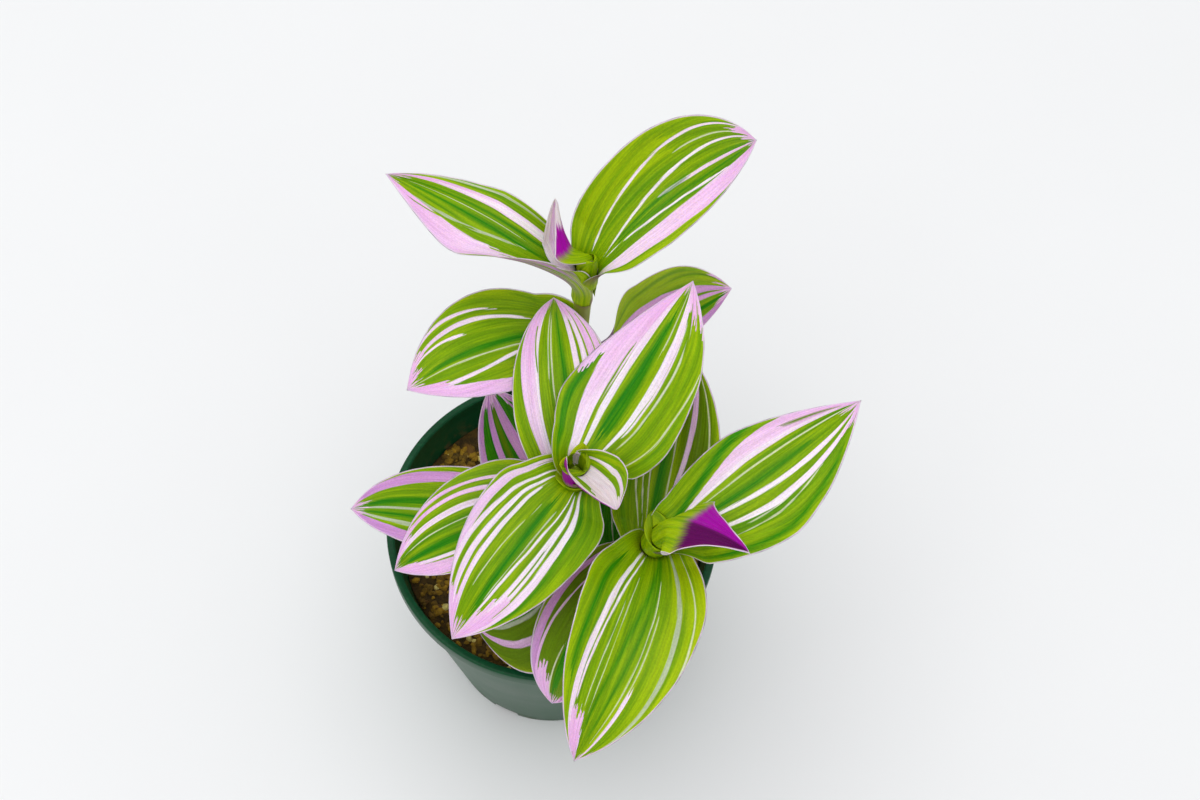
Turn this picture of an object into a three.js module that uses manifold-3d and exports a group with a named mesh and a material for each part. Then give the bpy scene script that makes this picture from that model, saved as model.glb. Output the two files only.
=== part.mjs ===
// A variegated tradescantia in a round nursery pot.
// Millimetres, +Z up, origin at the centre of the pot's flat base. Seen from the front, +X is right.
import * as THREE from 'three';
import Module from 'manifold-3d';
import { mergeVertices } from 'three/addons/utils/BufferGeometryUtils.js';

// ---------------------------------------------------------------- driving dimensions

// Touching pieces keep this clearance.
const GAP = 0.3;

// The pot: a tapered plastic shell with a thicker lip, and drain notches round its base edge.
const POT_HEIGHT = 88;
const RIM_RADIUS = 52.5;
const WALL_TOP_RADIUS = 50.6;
const BASE_RADIUS = 36;
const WALL = 1.4;
const FLOOR = 2;
const LIP_HEIGHT = 6;
const LIP_WIDTH = 2.6;
const EDGE_ROUND = 0.8;
const POT_SIDES = 48;
const NOTCH_COUNT = 8;
const NOTCH_WIDTH = 9;
const NOTCH_HEIGHT = 5;
const NOTCH_DEPTH = 7;

// The soil fills the pot up to a low mound below the lip.
const SOIL_EDGE_HEIGHT = 73;
const SOIL_MOUND = 2.5;
const SOIL_RINGS = 4;

// The stems, as the points that each one passes through from inside the soil to its youngest leaf.
const STEM_RADIUS = 2.5;
const STEM_SIDES = 10;
const STEM_STEPS = 22;
const STEMS = {
  centre: [[2, -12, 60], [6, -17, 108], [7, -20, 140], [7, -20, 169.5]],
  right: [[12, -15, 60], [18, -24, 108], [25, -32, 138], [32, -39, 169]],
  back: [[7, 25, 60], [4, 28, 108], [5, 31, 142], [7, 36, 185]],
};

// Every leaf starts as an open sheath round its stem, then bends away from it and flattens.
const LEAF_THICKNESS = 0.8;
const SHEATH_RADIUS = STEM_RADIUS + GAP + 0.1 + LEAF_THICKNESS / 2;
const SHEATH_HALF_ANGLE = 150;
const SHEATH_LENGTH = 3;
const BEND_END = 9;
const FLARE_END = 10;
const WIDEST_AT = 0.34;
const ROLL_SHARE = 0.35;
const TIP_HALF_WIDTH = 0.5;
const ROUND_FALL = 2;

// The grid that a leaf is made on: rows near the base by distance, then even ones to the tip.
const BASE_ROWS = [0, 3, 5, 7, 9, 12.5];
const YOUNG_BASE_ROWS = [0, 3, 4.5, 6, 8, 10];
const YOUNG_LENGTH = 40;
const TIP_ROWS = 8;
const LEAF_COLUMNS = 8;
const MARCH_STEPS = 240;

// One row a leaf, from the top of its stem down.
// height: where it joins the stem. heading: its compass angle seen from above, 0 to the right and
// 90 to the back, which turns by swing on the way to the tip. rise: its upward angle at the base,
// which falls by droop on the way to the tip. roll tips the blade about its midrib. cup is the half
// angle of its curved cross section, and flareEnd how far from the base it opens to that. skew
// shifts width to one half of the blade. widestAt is where along the blade it is widest, and fall
// how slowly it narrows from there. Lengths in mm, angles in degrees.
const BACK_LEAVES = {
  leaf_back_young: { height: 183.5, heading: 152, rise: 55, droop: -8, swing: 0,
    length: 24, width: 12, roll: 0, cup: 110, fall: 1.6 },
  leaf_back_1: { height: 175.5, heading: 44, rise: 57, droop: 98, swing: 0,
    length: 75, width: 31, roll: 22, cup: 34, fall: 1.8, skew: 0.1, flareEnd: 14, widestAt: 0.44 },
  leaf_back_2: { height: 165.5, heading: 163, rise: 54, droop: 84, swing: -20,
    length: 75, width: 29, roll: 12, cup: 23, fall: 1.4, skew: 0.16, flareEnd: 14, widestAt: 0.48 },
  leaf_back_3: { height: 146, heading: 201, rise: 41, droop: 66, swing: 12,
    length: 59, width: 38, roll: 6, cup: 12, fall: 2.2, flareEnd: 13, widestAt: 0.46 },
  leaf_back_4: { height: 122, heading: 32, rise: 52, droop: 60, swing: 0,
    length: 62, width: 30, roll: 5, cup: 26, flareEnd: 14 },
};
const CENTRE_LEAVES = {
  leaf_centre_young: { height: 168.6, heading: -60, rise: 42, droop: 15, swing: 10,
    length: 27, width: 20, roll: 0, cup: 70 },
  leaf_centre_1: { height: 162, heading: 52, rise: 26, droop: 18, swing: 16,
    length: 65, width: 40, roll: -14, cup: 20, fall: 1.7, skew: -0.12 },
  leaf_centre_2: { height: 156, heading: 236, rise: 8, droop: 50, swing: -4,
    length: 59, width: 36, roll: -2, cup: 27, fall: 2.2, skew: 0.06, widestAt: 0.27 },
  leaf_centre_3: { height: 148, heading: 110, rise: 54, droop: 82, swing: -20,
    length: 66, width: 31, roll: -5, cup: 27, fall: 1.9, skew: -0.16, flareEnd: 12, widestAt: 0.4 },
  leaf_centre_4: { height: 138, heading: 195, rise: 37, droop: 93, swing: 9,
    length: 62, width: 34, roll: 3, cup: 24, fall: 1.9, skew: 0.03, flareEnd: 16, widestAt: 0.36 },
  leaf_centre_5: { height: 112, heading: 179, rise: 43, droop: 94, swing: -13,
    length: 78, width: 28, roll: -17, cup: 28, fall: 2.1, skew: 0.06, flareEnd: 16, widestAt: 0.4 },
  leaf_centre_6: { height: 104, heading: 128, rise: 45, droop: 60, swing: -14,
    length: 60, width: 32, roll: 0, cup: 25, flareEnd: 14 },
  leaf_centre_7: { height: 90, heading: 248, rise: 20, droop: 32, swing: -32,
    length: 47, width: 31, roll: 0, cup: 22 },
};
const RIGHT_LEAVES = {
  leaf_right_young: { height: 169, heading: 160, rise: 108, droop: -84, swing: 0,
    length: 35, width: 21, roll: -6, cup: 75, fall: 1.3, skew: -0.3, widestAt: 0.5 },
  leaf_right_1: { height: 159, heading: 31, rise: 29, droop: 30, swing: 10,
    length: 70, width: 34, roll: 12, cup: 27, fall: 1.4, skew: -0.22, flareEnd: 11, widestAt: 0.47 },
  leaf_right_2: { height: 152, heading: 264, rise: 33, droop: 88, swing: -24,
    length: 70, width: 36, roll: -14, cup: 36, skew: 0.04 },
  leaf_right_3: { height: 144, heading: 74, rise: 43, droop: 50, swing: 11,
    length: 62, width: 30, roll: 0, cup: 28 },
  leaf_right_4: { height: 131, heading: 234, rise: 40, droop: 130, swing: 15,
    length: 60, width: 25, roll: 0, cup: 26, flareEnd: 12, widestAt: 0.42 },
  leaf_right_5: { height: 119, heading: 78, rise: 45, droop: 65, swing: 20,
    length: 50, width: 26, roll: 0, cup: 26 },
};

// ---------------------------------------------------------------- solids and cuts

const manifold = await Module();
manifold.setup();

// A closed geometry as a solid that can be cut.
function toSolid(geometry) {
  const bare = geometry.index ? geometry.clone() : geometry;
  bare.deleteAttribute('normal');
  bare.deleteAttribute('uv');
  const merged = mergeVertices(bare, 1e-4);
  const triangles = [];
  for (let i = 0; i < merged.index.count; i += 3) {
    const [a, b, c] = [0, 1, 2].map((corner) => merged.index.getX(i + corner));
    if (a !== b && b !== c && c !== a) triangles.push(a, b, c);
  }
  return new manifold.Manifold(new manifold.Mesh({
    numProp: 3,
    vertProperties: merged.attributes.position.array,
    triVerts: new Uint32Array(triangles),
  }));
}

function toGeometry(solid) {
  const { vertProperties, triVerts } = solid.getMesh();
  const geometry = new THREE.BufferGeometry();
  geometry.setAttribute('position', new THREE.BufferAttribute(vertProperties, 3));
  geometry.setIndex(new THREE.BufferAttribute(triVerts, 1));
  return geometry;
}

// A profile of [radius, height] points turned round the vertical axis.
function turned(profile) {
  const points = profile.map(([radius, height]) => new THREE.Vector2(radius, height));
  return new THREE.LatheGeometry(points, POT_SIDES).rotateX(Math.PI / 2);
}

// ---------------------------------------------------------------- pot

const WALL_HEIGHT = POT_HEIGHT - LIP_HEIGHT;
const TAPER = (WALL_TOP_RADIUS - BASE_RADIUS) / WALL_HEIGHT;
const innerRadius = (height) => BASE_RADIUS + TAPER * height - WALL;

function makePot() {
  const lipInner = RIM_RADIUS - LIP_WIDTH;
  const shell = toSolid(turned([
    [0, 0],
    [BASE_RADIUS - EDGE_ROUND, 0],
    [BASE_RADIUS, EDGE_ROUND],
    [WALL_TOP_RADIUS, WALL_HEIGHT],
    [RIM_RADIUS - EDGE_ROUND / 2, WALL_HEIGHT + EDGE_ROUND / 2],
    [RIM_RADIUS, POT_HEIGHT - EDGE_ROUND],
    [RIM_RADIUS - EDGE_ROUND, POT_HEIGHT],
    [lipInner + EDGE_ROUND, POT_HEIGHT],
    [lipInner, POT_HEIGHT - EDGE_ROUND],
    [innerRadius(WALL_HEIGHT), WALL_HEIGHT],
    [innerRadius(FLOOR), FLOOR],
    [0, FLOOR],
  ]));
  return toGeometry(drainNotches().reduce((pot, notch) => pot.subtract(notch), shell));
}

function drainNotches() {
  const notches = [];
  for (let i = 0; i < NOTCH_COUNT; i += 1) {
    const box = new THREE.BoxGeometry(2 * NOTCH_DEPTH, NOTCH_WIDTH, 2 * NOTCH_HEIGHT);
    box.translate(BASE_RADIUS, 0, 0);
    box.rotateZ((i + 0.5) * (2 * Math.PI / NOTCH_COUNT));
    notches.push(toSolid(box));
  }
  return notches;
}

// ---------------------------------------------------------------- soil

function makeSoil() {
  const bottom = FLOOR + GAP;
  const edge = innerRadius(SOIL_EDGE_HEIGHT) - GAP;
  const profile = [[0, bottom], [innerRadius(bottom) - GAP, bottom], [edge, SOIL_EDGE_HEIGHT]];
  for (let ring = 1; ring <= SOIL_RINGS; ring += 1) {
    const share = 1 - ring / SOIL_RINGS;
    profile.push([edge * share, SOIL_EDGE_HEIGHT + SOIL_MOUND * (1 - share ** 2)]);
  }
  const sockets = Object.values(STEMS).map((points) => toSolid(stemSocket(points)));
  return toGeometry(sockets.reduce((soil, socket) => soil.subtract(socket), toSolid(turned(profile))));
}

// ---------------------------------------------------------------- stems

const toVectors = (points) => points.map((point) => new THREE.Vector3(...point));
const stemCurve = (points) => new THREE.CatmullRomCurve3(points, false, 'catmullrom', 0.5);

function tube(curve, radius) {
  const section = new THREE.Shape();
  section.absarc(0, 0, radius, 0, 2 * Math.PI);
  const outline = new THREE.Shape(section.getPoints(STEM_SIDES).slice(0, -1));
  return new THREE.ExtrudeGeometry(outline, { steps: STEM_STEPS, extrudePath: curve });
}

// The hole that a stem leaves in the soil, with the clearance all round and below it.
function stemSocket(points) {
  const [foot, next, ...rest] = toVectors(points);
  const down = foot.clone().sub(next).normalize();
  return tube(stemCurve([foot.addScaledVector(down, GAP), next, ...rest]), STEM_RADIUS + GAP);
}

// The point and direction of a stem's centre line at a height.
function stemAt(curve, height) {
  let [low, high] = [0, 1];
  for (let i = 0; i < 40; i += 1) {
    const middle = (low + high) / 2;
    if (curve.getPoint(middle).z < height) low = middle;
    else high = middle;
  }
  return { point: curve.getPoint(low), direction: curve.getTangent(low) };
}

// ---------------------------------------------------------------- leaves

const { degToRad, smoothstep, clamp } = THREE.MathUtils;

// How a leaf points at a distance from its base: along its midrib, across to its left margin, and
// out of its upper face.
function leafDirections(leaf, stemDirection, distance) {
  const share = distance / leaf.length;
  const heading = degToRad(leaf.heading + leaf.swing * share);
  const rise = degToRad(leaf.rise - leaf.droop * share);
  const blade = new THREE.Vector3(Math.cos(heading), Math.sin(heading), 0);
  blade.multiplyScalar(Math.cos(rise)).setZ(Math.sin(rise));
  const along = stemDirection.clone().lerp(blade, smoothstep(distance, SHEATH_LENGTH, BEND_END));
  along.normalize();
  const across = new THREE.Vector3(-Math.sin(heading), Math.cos(heading), 0);
  across.addScaledVector(along, -across.dot(along)).normalize();
  const rollEnd = SHEATH_LENGTH + ROLL_SHARE * leaf.length;
  across.applyAxisAngle(along, degToRad(leaf.roll) * smoothstep(distance, SHEATH_LENGTH, rollEnd));
  return { along, across, face: along.clone().cross(across) };
}

// A leaf's cross section at a distance from its base: half its width along the arc, the arc's half
// angle, and how much wider the left half is than the right.
function leafSection(leaf, distance) {
  const { widestAt = WIDEST_AT, fall = ROUND_FALL, flareEnd = FLARE_END, skew = 0 } = leaf;
  const share = distance / leaf.length;
  const sheathShare = SHEATH_LENGTH / leaf.length;
  const sheathHalf = degToRad(SHEATH_HALF_ANGLE) * SHEATH_RADIUS;
  const rise = clamp((share - sheathShare) / (widestAt - sheathShare), 0, 1);
  const toTip = clamp((share - widestAt) / (1 - widestAt), 0, 1);
  const rising = sheathHalf + (leaf.width / 2 - sheathHalf) * Math.sin(rise * Math.PI / 2);
  const falling = leaf.width / 2 * (1 - toTip ** fall);
  const flared = smoothstep(distance, SHEATH_LENGTH, flareEnd);
  const blade = leaf.cup * (1 - 0.5 * toTip);
  return {
    half: Math.max(share < widestAt ? rising : falling, TIP_HALF_WIDTH),
    angle: degToRad(blade + (SHEATH_HALF_ANGLE - leaf.cup) * (1 - flared)),
    skew: skew * flared,
  };
}

// One row of points across a leaf, each with the direction out of the upper face there.
function leafRow(leaf, centre, { across, face }, distance) {
  const { half, angle, skew } = leafSection(leaf, distance);
  const radius = half / angle;
  const row = [];
  for (let column = 0; column <= LEAF_COLUMNS; column += 1) {
    const side = 2 * column / LEAF_COLUMNS - 1;
    const turn = angle * side * (1 + skew * Math.sign(side));
    const point = centre.clone().addScaledVector(across, radius * Math.sin(turn));
    point.addScaledVector(face, radius * (1 - Math.cos(turn)));
    const normal = face.clone().multiplyScalar(Math.cos(turn));
    row.push({ point, normal: normal.addScaledVector(across, -Math.sin(turn)) });
  }
  return row;
}

function leafRows(leaf, curve) {
  const { point, direction } = stemAt(curve, leaf.height);
  const baseRows = leaf.length < YOUNG_LENGTH ? YOUNG_BASE_ROWS : BASE_ROWS;
  const lastBase = baseRows.at(-1);
  const wanted = new Set(baseRows.map((row) => Math.round(row / leaf.length * MARCH_STEPS)));
  for (let i = 1; i <= TIP_ROWS; i += 1) {
    const row = lastBase + (leaf.length - lastBase) * i / TIP_ROWS;
    wanted.add(Math.round(row / leaf.length * MARCH_STEPS));
  }
  const stepLength = leaf.length / MARCH_STEPS;
  const rows = [];
  let directions = leafDirections(leaf, direction, 0);
  const centre = point.clone().addScaledVector(directions.face, -SHEATH_RADIUS);
  for (let step = 0; step <= MARCH_STEPS; step += 1) {
    if (step > 0) {
      const next = leafDirections(leaf, direction, step * stepLength);
      centre.addScaledVector(directions.along, stepLength / 2);
      centre.addScaledVector(next.along, stepLength / 2);
      directions = next;
    }
    if (wanted.has(step)) rows.push(leafRow(leaf, centre, directions, step * stepLength));
  }
  return rows;
}

// A leaf as one closed body: its upper and lower face, joined round the edge.
function makeLeaf(leaf, curve) {
  const rows = leafRows(leaf, curve);
  const [rowCount, columnCount] = [rows.length, LEAF_COLUMNS + 1];
  const positions = [];
  for (const side of [0.5, -0.5]) {
    for (const { point, normal } of rows.flat()) {
      positions.push(...point.clone().addScaledVector(normal, side * LEAF_THICKNESS).toArray());
    }
  }
  const upper = (row, column) => row * columnCount + column;
  const lower = (row, column) => upper(row, column) + rowCount * columnCount;
  const triangles = [];
  const quad = (a, b, c, d) => triangles.push(a, b, c, a, c, d);
  const [lastRow, lastColumn] = [rowCount - 1, columnCount - 1];
  for (let i = 0; i < lastRow; i += 1) {
    for (let j = 0; j < lastColumn; j += 1) {
      quad(upper(i, j), upper(i + 1, j), upper(i + 1, j + 1), upper(i, j + 1));
      quad(lower(i, j), lower(i, j + 1), lower(i + 1, j + 1), lower(i + 1, j));
    }
    quad(upper(i, 0), lower(i, 0), lower(i + 1, 0), upper(i + 1, 0));
    quad(upper(i, lastColumn), upper(i + 1, lastColumn), lower(i + 1, lastColumn), lower(i, lastColumn));
  }
  for (let j = 0; j < lastColumn; j += 1) {
    quad(upper(0, j), upper(0, j + 1), lower(0, j + 1), lower(0, j));
    quad(upper(lastRow, j), lower(lastRow, j), lower(lastRow, j + 1), upper(lastRow, j + 1));
  }
  const geometry = new THREE.BufferGeometry();
  geometry.setAttribute('position', new THREE.Float32BufferAttribute(positions, 3));
  geometry.setIndex(triangles);
  return geometry;
}

// ---------------------------------------------------------------- the plant in its pot

const POT_GREEN = { color: 0x1f4f2c, roughness: 0.4, metalness: 0 };
const SOIL_BROWN = { color: 0x3b2c18, roughness: 0.95, metalness: 0 };
const STEM_GREEN = { color: 0x9aae3a, roughness: 0.55, metalness: 0 };
const LEAF_GREEN = { color: 0x6f9a1e, roughness: 0.45, metalness: 0 };
const YOUNG_LILAC = { color: 0xc9a3cf, roughness: 0.45, metalness: 0 };

const plant = new THREE.Group();

function addPiece(name, geometry, finish) {
  const mesh = new THREE.Mesh(geometry, new THREE.MeshStandardMaterial({ ...finish }));
  mesh.name = name;
  plant.add(mesh);
}

function addShoot(place, leaves) {
  const curve = stemCurve(toVectors(STEMS[place]));
  addPiece(`stem_${place}`, tube(curve, STEM_RADIUS), STEM_GREEN);
  for (const [name, leaf] of Object.entries(leaves)) {
    const finish = leaf.length < YOUNG_LENGTH ? YOUNG_LILAC : LEAF_GREEN;
    addPiece(name, makeLeaf(leaf, curve), finish);
  }
}

addPiece('pot', makePot(), POT_GREEN);
addPiece('soil', makeSoil(), SOIL_BROWN);
addShoot('centre', CENTRE_LEAVES);
addShoot('right', RIGHT_LEAVES);
addShoot('back', BACK_LEAVES);

export default plant;
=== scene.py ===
"""Looks of a variegated tradescantia in a round nursery pot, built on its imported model."""

import math

import bmesh
import bpy
from bpy.props import FloatProperty, FloatVectorProperty, IntProperty, PointerProperty
from mathutils import Matrix, Vector


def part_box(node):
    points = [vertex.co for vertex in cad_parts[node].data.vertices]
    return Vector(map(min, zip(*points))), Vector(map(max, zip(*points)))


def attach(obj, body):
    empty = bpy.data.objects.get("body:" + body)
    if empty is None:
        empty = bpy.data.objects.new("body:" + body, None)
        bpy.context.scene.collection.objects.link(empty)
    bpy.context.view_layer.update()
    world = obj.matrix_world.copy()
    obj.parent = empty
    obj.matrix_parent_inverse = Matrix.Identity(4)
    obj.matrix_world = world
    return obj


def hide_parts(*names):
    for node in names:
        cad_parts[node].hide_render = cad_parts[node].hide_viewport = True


bl_info = {
    "name": "Potted Tradescantia",
    "version": (1, 0, 0),
    "blender": (4, 5, 0),
    "location": "View3D > Sidebar > Tradescantia",
    "description": "Builds a variegated tradescantia in a nursery pot",
    "category": "Object",
}

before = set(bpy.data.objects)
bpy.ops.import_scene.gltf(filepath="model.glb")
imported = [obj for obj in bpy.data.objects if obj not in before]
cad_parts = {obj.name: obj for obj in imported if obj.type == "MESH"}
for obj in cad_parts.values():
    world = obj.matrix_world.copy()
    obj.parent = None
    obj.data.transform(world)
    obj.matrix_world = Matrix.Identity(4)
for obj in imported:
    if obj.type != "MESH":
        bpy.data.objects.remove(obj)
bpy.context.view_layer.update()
MM = 0.001

# ---------------------------------------------------------------- driving dimensions

# The pot's own sizes come from its CAD node, and the rest of its profile follows them.
_, POT_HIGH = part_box("pot")
SOIL_LOW, SOIL_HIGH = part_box("soil")

# How far the pot's wall, and the potting mix inside it, leans outwards for each unit of height.
WALL_SLOPE = 0.178

# The stems, as the points that each one passes through, in millimetres.
STEMS = {
    "centre": [(2, -12, 60), (6, -17, 108), (7, -20, 140), (7, -20, 169.5)],
    "right": [(12, -15, 60), (18, -24, 108), (25, -32, 138), (32, -39, 169)],
    "back": [(7, 25, 60), (4, 28, 108), (5, 31, 142), (7, 36, 185)],
}

# A leaf's shape and colours where its row says nothing else, in millimetres, degrees and shares of
# its length. height is where it joins its stem. heading is its compass angle from above, turning
# by swing on the way to the tip, and rise its upward angle, falling by droop. roll tips the blade
# about its midrib, cup is the half angle of its curved section, flare_end how far from the base it
# opens to that, and skew moves width to the left half. The blade is widest at widest_at, and a
# larger fall narrows it later from there. sheath is the length that clasps the stem, wrap its
# radius, closure the half angle that it covers and bend_end how far from the base the leaf takes
# its own direction. fold makes the section a V and corner its widest place a corner. ground is the
# main colour, and past tip it turns lilac. The underside is in the colour under, or under_left_shade
# left of the midrib, is yellow green up to clasp, pales past fade and shows the upper face's
# pattern as far as through says. margin is the thin edge's colour.
LEAF_DEFAULTS = {
    "swing": 0, "droop": 0, "roll": 0, "fall": 2, "skew": 0, "flare_end": 10, "widest_at": 0.34,
    "sheath": 3, "wrap": 3.3, "closure": 150, "bend_end": 9, "fold": 0, "corner": 0,
    "ground": "green", "tip": 0.93, "under": "purple", "under_left_shade": None, "clasp": 0.13,
    "fade": 1.2, "through": 0.12, "margin": "white", "stripes": (),
}

# What the rolled buds share, and what the sheath mouths round two stems' tops share.
ROLLED = dict(flare_end=60, closure=178, tip=1.1, ground="yellow", margin="yellow", clasp=1.4)
MOUTH = dict(ROLLED, cup=176, fall=30, bend_end=12, widest_at=0.9, sheath=5)

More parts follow.
